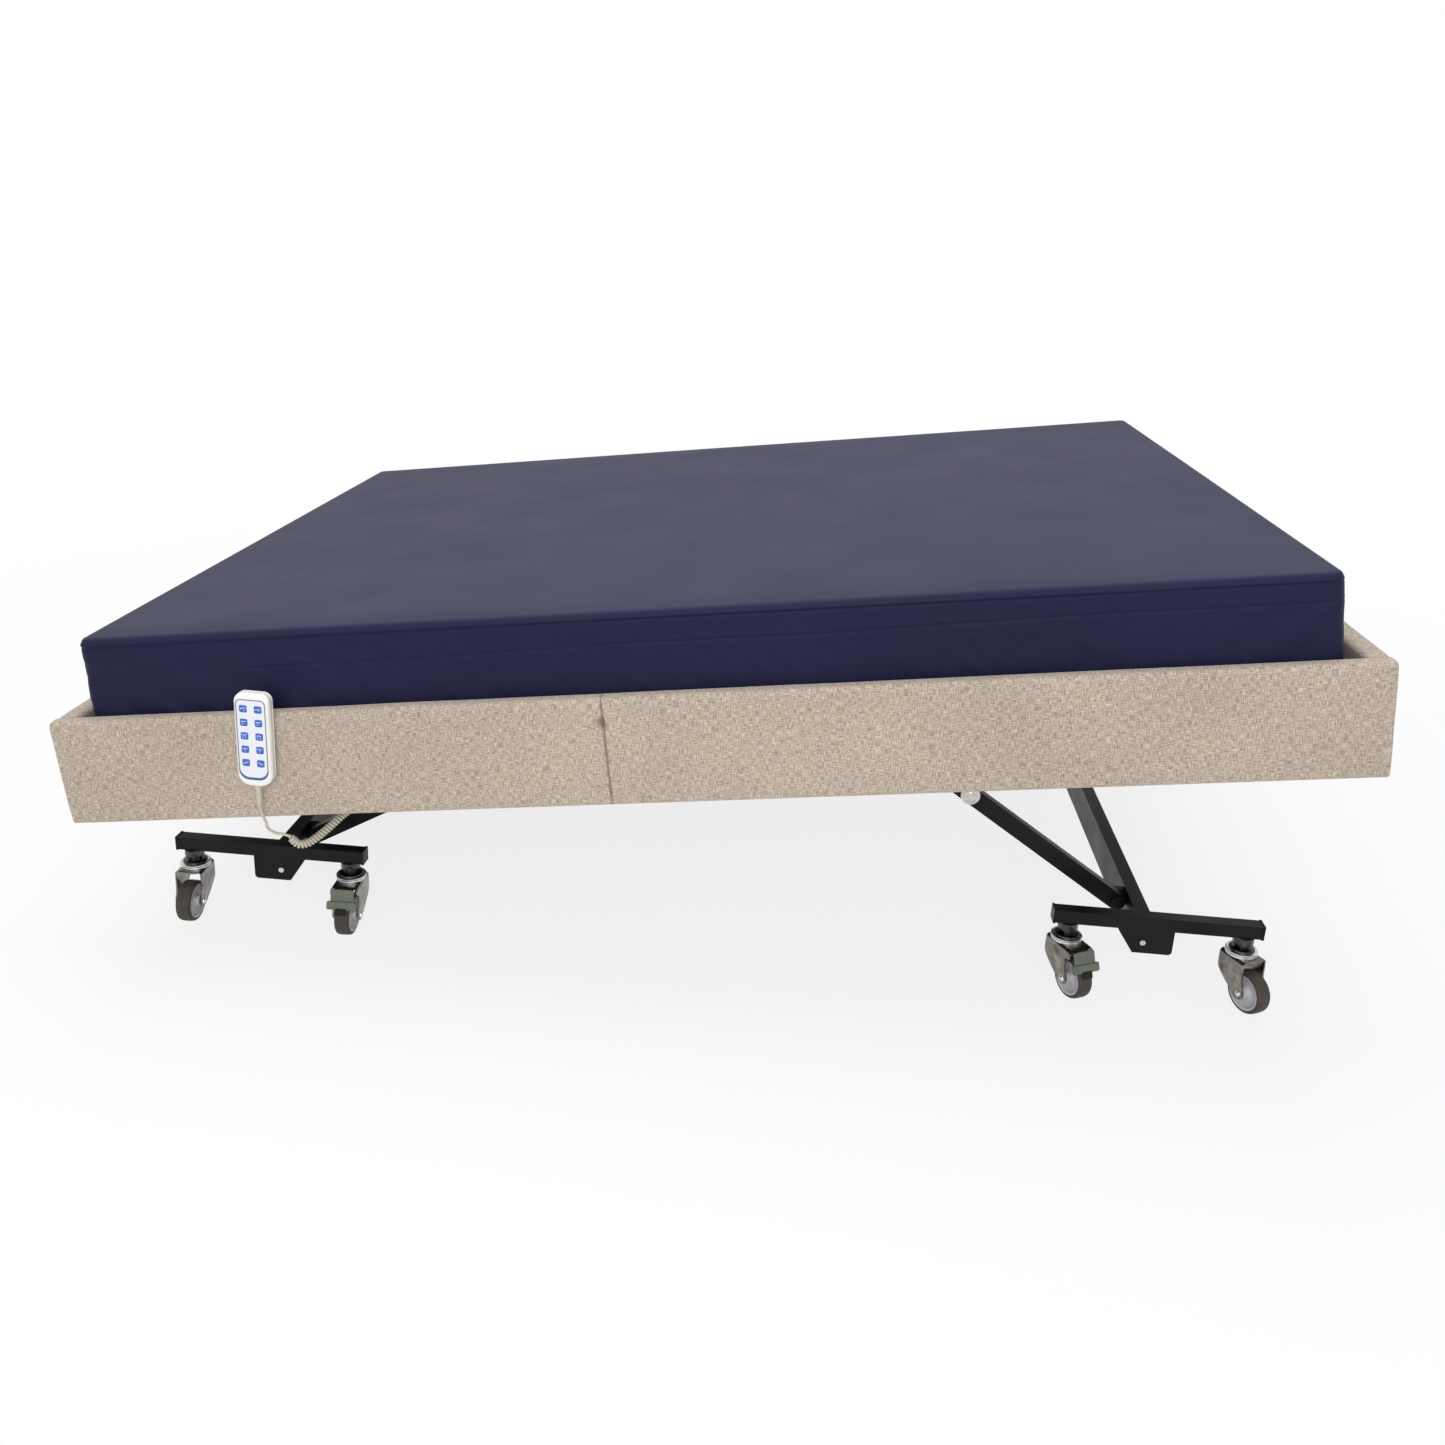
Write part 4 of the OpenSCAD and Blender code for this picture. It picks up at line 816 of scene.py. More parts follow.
key_levels = [(0.0058, -0.00035), (0.0035, -0.0003), (0.0015, -0.0001), (0.0007, 0.0002), (0.0002, 0.0007),
              (0.0, 0.0013), (0.0, 0.0036), (0.0058, 0.0036)]


def on_key(cx, face, cz):
    """Function that puts places of one key (from its middle, back from its face) on the
    handset."""
    return lambda x, y, z: on_handset(x + cx, y + face + 0.0003, z + cz)


for tag, (bend, dots) in signs.items():
    low, high = (np.array(c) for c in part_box("button_" + tag))
    middle = (low + high) / 2 - hang_from
    cx = middle[0] * np.cos(hang_lean) - middle[2] * np.sin(hang_lean)
    cz = case_size[1] + middle[0] * np.sin(hang_lean) + middle[2] * np.cos(hang_lean)
    face = low[1] - hang_from[1]
    size = (high[0] - low[0] - 0.0002, high[2] - low[2] - 0.0002)
    spot = on_key(cx, face, cz)
    key = out_faces(pressed_form("key_" + tag, size[0], -size[1] / 2, size[1] / 2, 0.0030, 0.0030, key_levels,
                                 spot))
    key.data.materials.append(key_paint)
    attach(key, "button_" + tag)
    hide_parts("button_" + tag)
    b = np.array(bend) * sign_half
    way = np.gradient(b, axis=0)
    way /= np.linalg.norm(way, axis=1)[:, None]
    off = np.stack([-way[:, 1], way[:, 0]], 1) * 0.00062
    edge = np.stack([b + off, b + off, b - off, b - off], 1)
    depth = np.broadcast_to(np.array([0.0002, -0.00055, -0.00055, 0.0002]), edge.shape[:2])
    line = out_faces(surface("sign_line_" + tag, spot(edge[..., 0], depth, edge[..., 1]), wrap_cols=True,
                             smooth=False))
    marks = [line]
    for j, (dx, dz) in enumerate(dots):
        ring = np.linspace(0, 2 * np.pi, 12, endpoint=False)
        size_at = np.array([0.00095, 0.00095, 0.0007])[:, None]
        disc = spot(dx * sign_half + size_at * np.cos(ring),
                    np.array([0.0002, -0.0005, -0.0006])[:, None] + 0 * ring,
                    dz * sign_half + size_at * np.sin(ring))
        marks.append(out_faces(surface(f"sign_dot_{tag}_{j + 1}", disc, wrap_cols=True, smooth=False)))
    for mark in marks:
        mark.data.materials.append(sign_paint)
        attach(mark, "button_" + tag)

# strain relief: tapered rubber boot with a rib wound round it
boot_lo, boot_hi = (np.array(c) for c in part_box("handset_relief"))
boot_t = np.linspace(0, 1, 70)[:, None]
boot_a = np.linspace(0, 2 * np.pi, 28, endpoint=False)[None, :]
boot_rib = (0.00045 * np.tanh(2.5 * np.cos(2 * np.pi * 6.5 * boot_t + boot_a))
            * np.clip(np.minimum(boot_t, 1 - boot_t) / 0.08, 0, 1))
boot_r = 0.0057 - 0.0022 * boot_t + boot_rib
boot_x = (boot_lo[0] + boot_hi[0]) / 2
boot_y = (boot_lo[1] + boot_hi[1]) / 2
boot_top, boot_end = boot_hi[2] + 0.003, boot_lo[2] - 0.002
boot_at = np.stack([boot_x + boot_r * np.cos(boot_a), boot_y + boot_r * np.sin(boot_a),
                    boot_top + (boot_end - boot_top) * boot_t + 0 * boot_a], -1)
boot = out_faces(surface("cord_boot", boot_at, wrap_cols=True))
pvc = moulded("beige cord rubber", 120.0, 4.0, (0.46, 0.41, 0.34), (0.62, 0.57, 0.49), 0.5, (1500.0, 0.15))
for piece in (boot, cord_piece):
    piece.data.materials.append(pvc)
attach(boot, "platform")
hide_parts("handset_relief")


# ---------------------------------------------------------------------------
# Castors: eight twin-race swivel castors. A pressed and zinc-plated steel fork
# turns on a ball race under its beam and holds a nylon wheel with a rubber tyre
# on a through bolt; every second one has a grey-green pedal with a brake block.
# ---------------------------------------------------------------------------
wheel_out, wheel_half = 0.039, 0.014
rim_out = 0.032
fork_half = 0.023
fork_wall = 0.003
fork_bend = 0.0038
axle_at = (0.033, 0.039)
cheek_rivet_at = (0.016, 0.079)
pedal_hinge = (0.042, 0.091)
pedal_slope = np.radians(70)


def castor_place(i):
    """Function that puts castor places (along its trail, across it, up from the floor)
    into the row frame: swivel axis + a * trail direction + b * its left + z * up."""
    pivot = np.array(joints[f"castor_swivel_{i}"]["pos_m"])
    axle = np.array(joints[f"wheel_spin_{i}"]["pos_m"])
    ahead = (axle - pivot) * [1, 1, 0]
    ahead /= np.linalg.norm(ahead)
    left = np.array([-ahead[1], ahead[0], 0])

    def place(a, b, z):
        a, b, z = np.broadcast_arrays(np.asarray(a, float), b, z)
        return (pivot * [1, 1, 0] + a[..., None] * ahead + b[..., None] * left
                + z[..., None] * np.array([0, 0, 1.0]))
    return place


def turned(name, profile, where, loop=False, count=64, start=0.0, smooth=True):
    """Profile of (radius, distance along the axis) turned about that axis; an open one
    is closed by flat ends. where() takes (across, across, along)."""
    ang = start + np.linspace(0, 2 * np.pi, count, endpoint=False)
    r, h = np.array(profile, float).T
    grid = where(r[:, None] * np.cos(ang), r[:, None] * np.sin(ang), h[:, None] + 0 * ang)
    made = surface(name, grid, wrap_rows=loop, wrap_cols=True, smooth=smooth)
    made.data.set_sharp_from_angle(angle=np.radians(38))
    return out_faces(made)


def tyre_section(out, bead, half, fullness=0.55, count=30):
    """Superellipse half: b = half * sin^p, r = bead + depth * cos^p from one bead over
    the tread to the other, closed by a straight line under the tyre."""
    q = np.linspace(-np.pi / 2, np.pi / 2, count)
    b = half * np.sign(np.sin(q)) * np.abs(np.sin(q)) ** fullness
    r = bead + (out - bead) * np.abs(np.cos(q)) ** fullness
    return np.stack([r, b], 1)


# half the rim's section: hub boss, dished web and bead seat
half_rim = np.array([(0.0041, 0.0190), (0.0088, 0.0190), (0.0097, 0.0186), (0.0101, 0.0177), (0.0105, 0.0125),
                     (0.0113, 0.0098), (0.0132, 0.0082), (0.0165, 0.0076), (0.0215, 0.0077), (0.0243, 0.0085),
                     (0.0264, 0.0103), (0.0276, 0.0124), (0.0288, 0.0133), (0.0303, 0.0135),
                     (0.0320, 0.0130)])
rim_section = np.vstack([half_rim * [1, -1], half_rim[::-1]])
ring_turn = np.linspace(0, 2 * np.pi, 12, endpoint=False)
# heights of the cheek's rows, closest about the axle boss and the ear of the pedal's hinge
up_cheek = np.array([0.0290, 0.0293, 0.0300, 0.0312, 0.0330, 0.0355, 0.039, 0.043, 0.048, 0.053, 0.058, 0.062,
                     0.066, 0.070, 0.075, 0.080, 0.083, 0.0845, 0.086, 0.0875, 0.089, 0.0905, 0.092, 0.0932,
                     0.0942])


def cheek_edges(z, braked):
    """Rear and front edge of a cheek at a height: a round boss about the axle below,
    blended into a slanting rear edge and a nearly upright front one; a braked
    fork's front edge also runs out in a round ear about the pedal's hinge."""
    axle, up = axle_at
    boss_round = 0.010
    ear_up, ear_round = 0.0895, 0.0058
    round_low = np.sqrt(np.maximum(boss_round ** 2 - np.minimum(z - up, 0) ** 2, 4e-8))
    rear = np.interp(z, [0.029, 0.031, 0.034, 0.040, 0.050, 0.060, 0.066, 0.072, 0.080],
                     [0.033, 0.0262, 0.0205, 0.0110, -0.0040, -0.0165, -0.0213, -0.0229, -0.0230])
    rear = np.where(z < 0.034, np.minimum(rear, axle - round_low), rear)
    slant = np.interp(z, [0.039, 0.044, 0.050, 0.056, 0.062, 0.070, 0.095],
                      [0.043, 0.0424, 0.0402, 0.0378, 0.0364, 0.0354, 0.0342])
    front = np.where(z > up, slant, axle + round_low)
    if braked:
        ear = pedal_hinge[0] + np.sqrt(np.maximum(ear_round ** 2 - (z - ear_up) ** 2, 0))
        front = np.where(np.abs(z - ear_up) < ear_round, np.maximum(front, ear), front)
    return rear, front


def fork_sheet(name, place, braked):
    """Pressed sheet: up one cheek, round a bend, over the top plate and down the other
    cheek, and at each step straight from its rear to its front edge."""
    q = np.linspace(0, np.pi / 2, 7)[1:]
    z_bend = 0.098 - fork_bend + fork_bend * np.sin(q)
    b_bend = fork_half - fork_bend + fork_bend * np.cos(q)
    z_half = np.concatenate([up_cheek, z_bend])
    b_half = np.concatenate([np.full(len(up_cheek), fork_half), b_bend])
    over = np.linspace(1, -1, 13)[1:-1] * (fork_half - fork_bend)
    z = np.concatenate([z_half, 0 * over + 0.098, z_half[::-1]])
    b = np.concatenate([-b_half, -over, b_half[::-1]])
    rear, front = cheek_edges(np.minimum(z, 0.0942), braked)
    t = np.linspace(0, 1, 12)[None, :]
    a = rear[:, None] * (1 - t) + front[:, None] * t
    dip = (np.clip((z[:, None] - 0.0975) / 0.0005, 0, 1) * 0.0025 * t ** 6
           * (1 - (b[:, None] / fork_half) ** 2))
    made = surface(name, place(a, b[:, None] + 0 * t, z[:, None] - dip))
    wall = made.modifiers.new("sheet", "SOLIDIFY")
    wall.thickness, wall.offset, wall.use_even_offset = fork_wall, 1.0, True
    edge = made.modifiers.new("edge", "BEVEL")
    edge.width, edge.segments, edge.limit_method, edge.angle_limit = 0.0006, 2, "ANGLE", np.radians(50)
    return made


# faint clouding, fine specks and the orange peel of a coat, for every hard surface
coat, gn, gl, gi, go = shader_group(
    "coat grain",
    {"Vector": ("NodeSocketVector", None), "Cloud Scale": ("NodeSocketFloat", 14.0),
     "Speck Scale": ("NodeSocketFloat", 900.0)},
    {"Cloud": "NodeSocketFloat", "Speck": "NodeSocketFloat", "Peel": "NodeSocketFloat"})
cloudy = put(gn, gl, "ShaderNodeTexNoise", {"Detail": 5.0, "Roughness": 0.6},
             {"Vector": gi.outputs["Vector"], "Scale": gi.outputs["Cloud Scale"]})
evened = put(gn, gl, "ShaderNodeMapRange", {"From Min": 0.32, "From Max": 0.68}, {"Value": cloudy.outputs[0]})
gl.new(evened.outputs["Result"], go.inputs["Cloud"])
specks = put(gn, gl, "ShaderNodeTexNoise", {"Detail": 2.0},
             {"Vector": gi.outputs["Vector"], "Scale": gi.outputs["Speck Scale"]})
picked = put(gn, gl, "ShaderNodeMapRange", {"From Min": 0.6, "From Max": 0.72}, {"Value": specks.outputs[0]})
gl.new(picked.outputs["Result"], go.inputs["Speck"])
half_speck = put(gn, gl, "ShaderNodeMath", operation="MULTIPLY", values={1: 0.5},
                 into={0: gi.outputs["Speck Scale"]})
peel = put(gn, gl, "ShaderNodeTexNoise", {"Detail": 2.0},
           {"Vector": gi.outputs["Vector"], "Scale": half_speck.outputs[0]})
gl.new(peel.outputs[0], go.inputs["Peel"])


def hard_finish(name, low, high, rough, peel_depth, metallic=0.0, cloud_scale=14.0, speck_scale=900.0,
                speck=None, gloss=0.5):
    """Hard coat or metal: its colour clouds between two tones with specks of a third,
    its roughness follows the clouding between two values, and the peel is its bump."""
    made, n, l, bsdf = material(name)
    where = put(n, l, "ShaderNodeTexCoord")
    grain = put(n, l, "ShaderNodeGroup", {"Cloud Scale": cloud_scale, "Speck Scale": speck_scale},
                {"Vector": where.outputs["Object"]}, node_tree=coat)
    tint = put(n, l, "ShaderNodeValToRGB", into={0: grain.outputs["Cloud"]})
    tint.color_ramp.elements[0].color = (*low, 1)
    tint.color_ramp.elements[1].color = (*high, 1)
    colour = tint.outputs[0]
    if speck is not None:
        fleck = put(n, l, "ShaderNodeMix", {7: (*speck, 1)}, {0: grain.outputs["Speck"], 6: colour},
                    data_type="RGBA")
        colour = fleck.outputs[2]
    l.new(colour, bsdf.inputs["Base Color"])
    dull = put(n, l, "ShaderNodeMapRange", {"To Min": rough[0], "To Max": rough[1]},
               {"Value": grain.outputs["Cloud"]})
    l.new(dull.outputs["Result"], bsdf.inputs["Roughness"])
    bump = put(n, l, "ShaderNodeBump", {"Strength": 0.3, "Distance": peel_depth},
               {"Height": grain.outputs["Peel"]})
    l.new(bump.outputs[0], bsdf.inputs["Normal"])
    bsdf.inputs["Metallic"].default_value = metallic
    bsdf.inputs["Specular IOR Level"].default_value = gloss
    return made


zinc = hard_finish("bright zinc plate", (0.50, 0.52, 0.53), (0.70, 0.71, 0.71), (0.20, 0.34), 0.0001,
                   metallic=1.0, cloud_scale=60.0, speck_scale=1400.0)
fork_zinc = hard_finish("dull zinc fork sheet", (0.105, 0.096, 0.086), (0.31, 0.293, 0.272), (0.18, 0.30),
                        0.00005, metallic=1.0, cloud_scale=45.0, speck_scale=1400.0)
cap_zinc = hard_finish("warm zinc cap", (0.46, 0.44, 0.40), (0.66, 0.63, 0.58), (0.22, 0.36), 0.0001,
                       metallic=1.0, cloud_scale=60.0)
dark_steel = hard_finish("blackened steel race", (0.030, 0.032, 0.035), (0.10, 0.105, 0.11), (0.22, 0.38),
                         0.0001, metallic=1.0, cloud_scale=90.0)
tyre_rubber = hard_finish("grey castor rubber", (0.038, 0.032, 0.028), (0.082, 0.067, 0.056), (0.55, 0.75),
                          0.0002, cloud_scale=70.0, speck_scale=1500.0, speck=(0.11, 0.085, 0.06), gloss=0.3)
nylon = hard_finish("pale grey nylon wheel", (0.45, 0.45, 0.49), (0.58, 0.58, 0.62), (0.35, 0.5), 0.0001,
                    cloud_scale=50.0)
white_nylon = hard_finish("white bead ring", (0.66, 0.66, 0.68), (0.80, 0.80, 0.81), (0.35, 0.5), 0.0001,
                          cloud_scale=80.0)
pedal_plastic = hard_finish("grey green pedal plastic", (0.112, 0.128, 0.098), (0.155, 0.176, 0.136),
                            (0.42, 0.55), 0.0002, cloud_scale=60.0, speck_scale=1800.0, gloss=0.4)
brake_rubber = hard_finish("black brake block", (0.008, 0.008, 0.008), (0.018, 0.017, 0.016), (0.6, 0.75),
                           0.0002, cloud_scale=90.0, gloss=0.2)


def finish_piece(piece, paint, body, slot_name, *nodes):
    """Gives a piece its material and its body, and hides the CAD nodes it stands for; slot_name is not used.
    """
    piece.data.materials.append(paint)
    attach(piece, body)
    if nodes:
        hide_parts(*nodes)
    return piece


def across(place, at, s=1):
    """Function that puts a turned form on a castor with its axis running across: its two
    cross directions start from the point at, and s gives the side it faces."""
    return lambda x, y, h: place(at[0] + x, s * h, at[1] + y)


def on_pedal(place, top):
    """Function that lays a pad on the slope of the pedal: x across the castor, y down into
    the pad from top, z up the slope from the hinge."""
    cs, sn = np.cos(pedal_slope), np.sin(pedal_slope)
    return lambda x, y, z: place(pedal_hinge[0] - z * cs + (top - y) * sn, x,
                                 pedal_hinge[1] + z * sn + (top - y) * cs)


def pedal_levels(thick, r, widest=0.010):
    """Levels of a moulded pad: flat face, edge rounded by about r, side, and the same back.
    No inset goes past the widest, so a narrow pad's rings don't cross."""
    levels = [(0.010, 0.0), (0.004, 0.0), (0.9 * r, 0.0), (0.45 * r, 0.1 * r), (0.15 * r, 0.35 * r),
              (0.0, 0.9 * r), (0.0, thick - 0.5 * r), (0.25 * r, thick - 0.1 * r), (0.6 * r, thick),
              (0.010, thick)]
    return [(min(d, widest), y) for d, y in levels]


tyre_form = np.vstack([tyre_section(wheel_out, rim_out + 0.0001, wheel_half),
                       [[rim_out - 0.0002, 0.011], [rim_out - 0.0002, -0.011]]])
axle_nut_form = [(0.0020, 0.0230), (0.0060, 0.0230), (0.0066, 0.0234), (0.0066, 0.0258), (0.0061, 0.0266),
                 (0.0020, 0.0267)]
axle_end_form = [(0.0044, 0.0262), (0.0044, 0.0272), (0.0039, 0.0282), (0.0028, 0.0289), (0.0012, 0.0290)]
lower_race_form = [(0.0090, 0.0978), (0.0236, 0.0978), (0.0241, 0.0986), (0.0250, 0.0994), (0.0268, 0.0998),
                   (0.0278, 0.1004), (0.0281, 0.1014), (0.0281, 0.1030), (0.0277, 0.1040), (0.0266, 0.1044),
                   (0.0090, 0.1045)]
upper_race_form = [(0.0090, 0.1048), (0.0266, 0.1048), (0.0277, 0.1053), (0.0280, 0.1064), (0.0277, 0.1078),
                   (0.0262, 0.1085), (0.0246, 0.1087), (0.0090, 0.1088)]
race_cap_form = [(0.0090, 0.1085), (0.0224, 0.1086), (0.0226, 0.1096), (0.0219, 0.1112), (0.0200, 0.1122),
                 (0.0150, 0.1126), (0.0090, 0.1126)]
king_nut_form = [(0.0080, 0.1124), (0.0122, 0.1124), (0.0131, 0.1130), (0.0131, 0.1188), (0.0122, 0.1196),
                 (0.0080, 0.1197)]
king_stem_form = [(0.0150, 0.1192), (0.0172, 0.1198), (0.0180, 0.1210), (0.0180, 0.1346), (0.0176, 0.1349)]
pedal_rivet_form = [(0.0030, 0.0195), (0.0030, 0.0229), (0.0044, 0.0230), (0.0042, 0.0234), (0.0028, 0.0239),
                    (0.0010, 0.0240)]
fork_rivet_form = [(0.0036, 0.0226), (0.0036, 0.0236), (0.0030, 0.0243), (0.0019, 0.0248), (0.0007, 0.0249)]
# pads of a pedal: width, lower and upper end, corner radii above and below, levels, height over
# the hinge, material and slot
pads = [("pedal_plate", 0.044, -0.020, 0.006, 0.0035, 0.0015, pedal_levels(0.003, 0.0012),
         0.0135, pedal_plastic, "pedal"),
        ("pedal_lip", 0.056, -0.032, -0.016, 0.0025, 0.0040, pedal_levels(0.0055, 0.0018, 0.0075),
         0.0165, pedal_plastic, "pedal"),
        ("pedal_web", 0.030, -0.0045, 0.0045, 0.002, 0.002, pedal_levels(0.012, 0.001, 0.004),
         0.0115, pedal_plastic, "pedal"),
        ("brake_block", 0.020, -0.042, -0.029, 0.001, 0.002, pedal_levels(0.0038, 0.001, 0.006),
         0.0182, brake_rubber, "castor_tyre")]
sides = (("left", 1), ("right", -1))

for i in range(1, 9):
    place = castor_place(i)
    braked = i % 2 == 0
    wheel, castor = f"wheel_{i}", f"castor_{i}"
    carriage = "head_carriage" if i <= 4 else "foot_carriage"
    about_axle = across(place, axle_at)
    finish_piece(turned(f"tyre_{i}", tyre_form, about_axle, loop=True, count=96), tyre_rubber, wheel,
                 "castor_tyre", f"castor_wheel_{i}")
    finish_piece(turned(f"rim_{i}", rim_section, about_axle, loop=True, count=72), nylon, wheel, "white_case")
    for side, s in sides:
        bead = np.stack([0.0315 + 0.0013 * np.cos(ring_turn), s * (0.0131 + 0.0010 * np.sin(ring_turn))], 1)
        finish_piece(turned(f"bead_{side}_{i}", bead, about_axle, loop=True, count=72), white_nylon, wheel,
                     "white_case")
        ends = across(place, axle_at, s)
        finish_piece(turned(f"axle_nut_{side}_{i}", axle_nut_form, ends, count=6, smooth=False), zinc, castor,
                     "zinc")
        finish_piece(turned(f"axle_end_{side}_{i}", axle_end_form, ends, count=24), zinc, castor, "zinc")
    finish_piece(fork_sheet(f"fork_{i}", place, braked), fork_zinc, castor, "zinc", f"castor_fork_{i}")
    finish_piece(turned(f"lower_race_{i}", lower_race_form, place), zinc, castor, "zinc")
    finish_piece(turned(f"upper_race_{i}", upper_race_form, place), zinc, carriage, "zinc")
    finish_piece(turned(f"race_cap_{i}", race_cap_form, place), dark_steel, carriage, "zinc")
    finish_piece(turned(f"king_nut_{i}", king_nut_form, place, count=6, smooth=False), dark_steel, carriage,
                 "zinc")
    finish_piece(turned(f"king_stem_{i}", king_stem_form, place, count=32), dark_steel, carriage, "zinc")
    if braked:
        pedal = f"pedal_{i // 2}"
        for pad, *sizes, top, paint, slot_name in pads:
            stood_for = (f"brake_{pedal}",) if pad == "pedal_plate" else ()
            made = out_faces(pressed_form(f"{pad}_{i}", *sizes, on_pedal(place, top)))
            finish_piece(made, paint, pedal, slot_name, *stood_for)
        for side, s in sides:
            finish_piece(turned(f"pedal_rivet_{side}_{i}", pedal_rivet_form, across(place, pedal_hinge, s),
                                count=24),
                         zinc, pedal, "zinc")
            finish_piece(turned(f"fork_rivet_{side}_{i}", fork_rivet_form, across(place, cheek_rivet_at, s),
                                count=24),
                         zinc, castor, "zinc")


# ---------------------------------------------------------------------------
# Castor carriages and lifting arms: square and flat steel tube, welded, ground and
# powder-coated black. A cross tube joins two beams; the arms are hung between lugs
# on pins, with a pressed cover disc half way along each arm.
# ---------------------------------------------------------------------------
def eased(node, name, body, paint, slot_name, width, bend=28):
    """Merged copy of a CAD node whose edges are rolled over by a narrow bevel."""
    source = frame["nodes"][node]
    bm = bmesh.new()
    bm.from_mesh(source.data)
    bmesh.ops.remove_doubles(bm, verts=bm.verts, dist=2e-6)
    bmesh.ops.dissolve_limit(bm, angle_limit=np.radians(1.0), verts=bm.verts, edges=bm.edges)
    mesh = bpy.data.meshes.new(name)
    bm.to_mesh(mesh)
    bm.free()
    mesh.polygons.foreach_set("use_smooth", np.ones(len(mesh.polygons), bool))
    mesh.set_sharp_from_angle(angle=np.radians(bend))
    made = bpy.data.objects.new(name, mesh)
    bpy.context.scene.collection.objects.link(made)
    edge = made.modifiers.new("eased", "BEVEL")
    edge.width, edge.segments, edge.limit_method, edge.angle_limit = width, 2, "ANGLE", np.radians(bend)
    edge.harden_normals = True
    return finish_piece(made, paint, body, slot_name, node)


powder_black = hard_finish("black powder coat", (0.0045, 0.0044, 0.0043), (0.0085, 0.0082, 0.0080),
                           (0.34, 0.50),
                           0.0002, cloud_scale=9.0, speck_scale=1100.0, speck=(0.02, 0.019, 0.018),
                           gloss=0.15)
eased("head_bogie", "head_carriage_frame", "head_carriage", powder_black, "black_steel", 0.0016)
eased("foot_bogie", "foot_carriage_frame", "foot_carriage", powder_black, "black_steel", 0.0016)
eased("head_arms", "head_lift_arms", "head_lift", powder_black, "black_steel", 0.0014)
eased("foot_arms", "foot_lift_arms", "foot_lift", powder_black, "black_steel", 0.0014)


# ---------------------------------------------------------------------------
# Carriage fasteners and arm covers: each arm hangs on a headed pin with a hexagon nut
# behind its lug, a small bolt holds the bracket, and a thin pressed cover closes
# the hole half way along the arm.
# ---------------------------------------------------------------------------
arm_face_v = 0.285
pin_nut_from = 0.033
bracket_bolt_from = -0.091
bracket_bolt_aside = 0.031
bracket_bolt_up = 0.112
cover_share = 0.327 / 0.676
pin_form = [(0.0030, -0.0065), (0.0100, -0.0065), (0.0117, -0.0059), (0.0120, -0.0047),
            (0.0120, -0.0005), (0.0080, -0.0005), (0.0080, pin_nut_from + 0.0005)]
nut_form = [(0.0050, 0.0), (0.0122, 0.0), (0.0130, 0.0006), (0.0130, 0.0062), (0.0122, 0.0070),
            (0.0050, 0.0070)]
bolt_form = [(0.0020, 0.0), (0.0055, 0.0), (0.0062, 0.0008), (0.0062, 0.0060), (0.0020, 0.0060)]
cover_form = [(0.0030, -0.0037), (0.0060, -0.0037), (0.0064, -0.0034), (0.0120, -0.0034), (0.0126, -0.0039),
              (0.0165, -0.0040), (0.0177, -0.0034), (0.0179, -0.0004)]
head_form = [(0.0030, 0.0913), (0.0122, 0.0913), (0.0130, 0.0919), (0.0130, 0.0977)]


def facing(x0, z0, v, s):
    """Function that puts a turned form at a place of the frame, its axis running across
    the bed from v and away from the near side, or towards it where s is -1."""
    return lambda x, y, h: np.stack(np.broadcast_arrays(x0 + x, deck_zero[1] + v + s * h, z0 + y), -1)


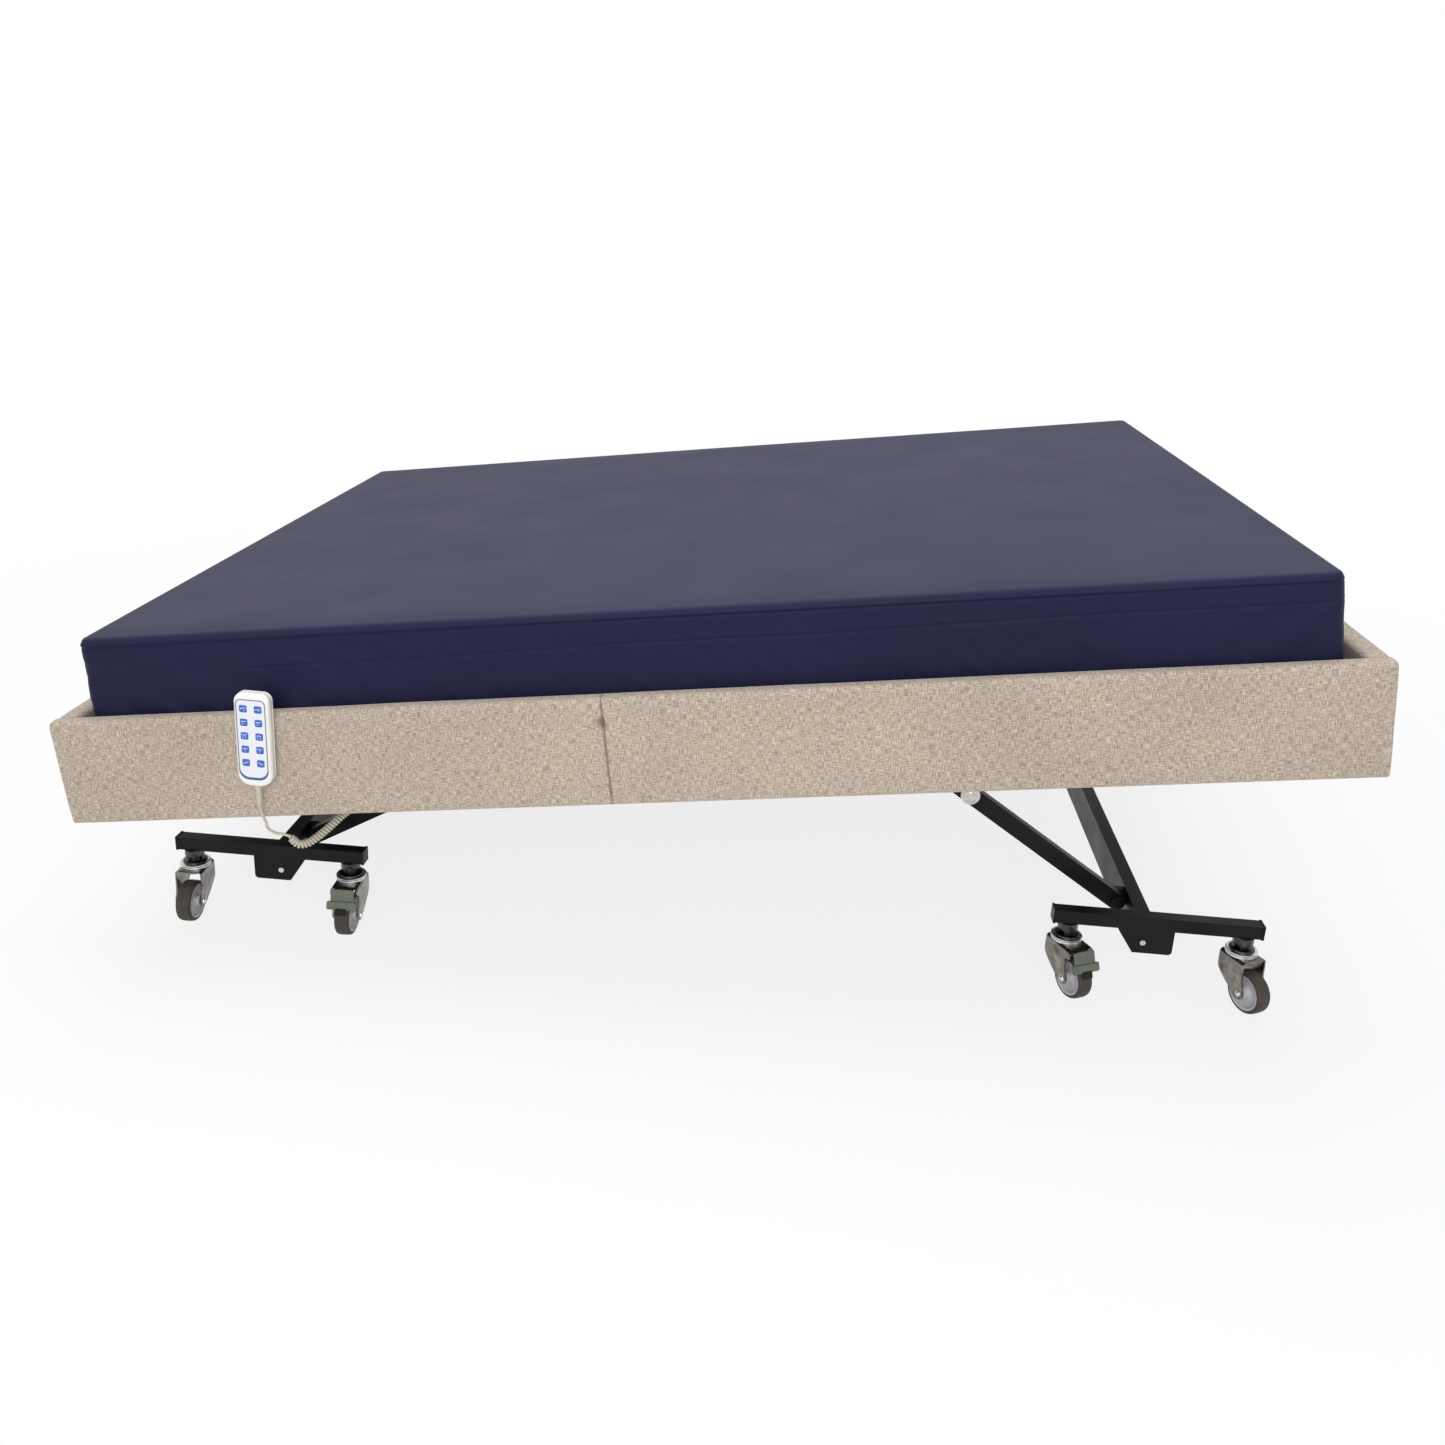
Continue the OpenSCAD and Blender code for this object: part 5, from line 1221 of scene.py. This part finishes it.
for side, aside in (("head", -1), ("foot", 1)):
    body, lift = f"{side}_carriage", f"{side}_lift"
    hinge = np.array(joints[f"{side}_carriage_level"]["pos_m"])
    root = np.array(joints[f"{side}_lift_turn"]["pos_m"])
    middle = root + cover_share * (hinge - root)
    for which, v, s in (("near", arm_face_v, 1), ("far", bed_wide - arm_face_v, -1)):
        at_pin = facing(hinge[0], hinge[2], v, s)
        at_bolt = facing(hinge[0] + aside * bracket_bolt_aside, bracket_bolt_up, v, s)
        at_cover = facing(middle[0], middle[2], v, s)
        stood_for = (f"{side}_bogie_bolts",) if which == "near" else ()
        finish_piece(turned(f"{side}_pin_{which}", pin_form, at_pin, count=40), powder_black, body,
                     "black_steel", *stood_for)
        finish_piece(turned(f"{side}_pin_nut_{which}", np.array(nut_form) + [0, pin_nut_from], at_pin,
                            count=6, smooth=False), dark_steel, body, "zinc")
        finish_piece(turned(f"{side}_bracket_bolt_{which}", np.array(bolt_form) + [0, bracket_bolt_from],
                            at_bolt, count=6, smooth=False), zinc, body, "zinc")
        finish_piece(turned(f"{side}_arm_cover_{which}", cover_form, at_cover, count=48), cap_zinc, lift,
                     "zinc")

for i in range(1, 9):
    finish_piece(turned(f"king_head_{i}", head_form, castor_place(i), count=40), dark_steel,
                 "head_carriage" if i <= 4 else "foot_carriage", "zinc")


# ---------------------------------------------------------------------------
# Steelwork, decks and drives: the welded black chassis, the grey slatted decks, the
# moulded motor housings with their bright thrust rods, and the control box.
# ---------------------------------------------------------------------------
deck_grey = hard_finish("grey deck coat", (0.15, 0.155, 0.16), (0.22, 0.225, 0.23), (0.36, 0.5), 0.0003,
                        cloud_scale=20.0, gloss=0.35)
motor_plastic = hard_finish("black moulded motor case", (0.012, 0.012, 0.0125), (0.022, 0.022, 0.023),
                            (0.48, 0.62), 0.0003, cloud_scale=30.0, gloss=0.3)
rod_steel = hard_finish("bright thrust rod", (0.45, 0.46, 0.48), (0.60, 0.61, 0.62), (0.18, 0.28), 0.0001,
                        metallic=1.0, cloud_scale=80.0)
eased("chassis_frame", "steel_chassis", "platform", powder_black, "black_steel", 0.0014)
for deck, body in (("seat_deck", "platform"), ("back_deck", "back_section"), ("thigh_deck", "thigh_section"),
                   ("calf_deck", "calf_section")):
    eased(deck, f"{deck}_frame", body, deck_grey, "grey_steel", 0.0012)
eased("actuator_housings", "motor_housings", "platform", motor_plastic, "motor_body", 0.0016)
eased("control_box", "control_box_case", "platform", motor_plastic, "motor_body", 0.0016)
for rod in ("head_lift_rod", "foot_lift_rod", "back_rod", "leg_rod"):
    eased(rod, f"{rod}_steel", rod, rod_steel, "zinc", 0.0008)
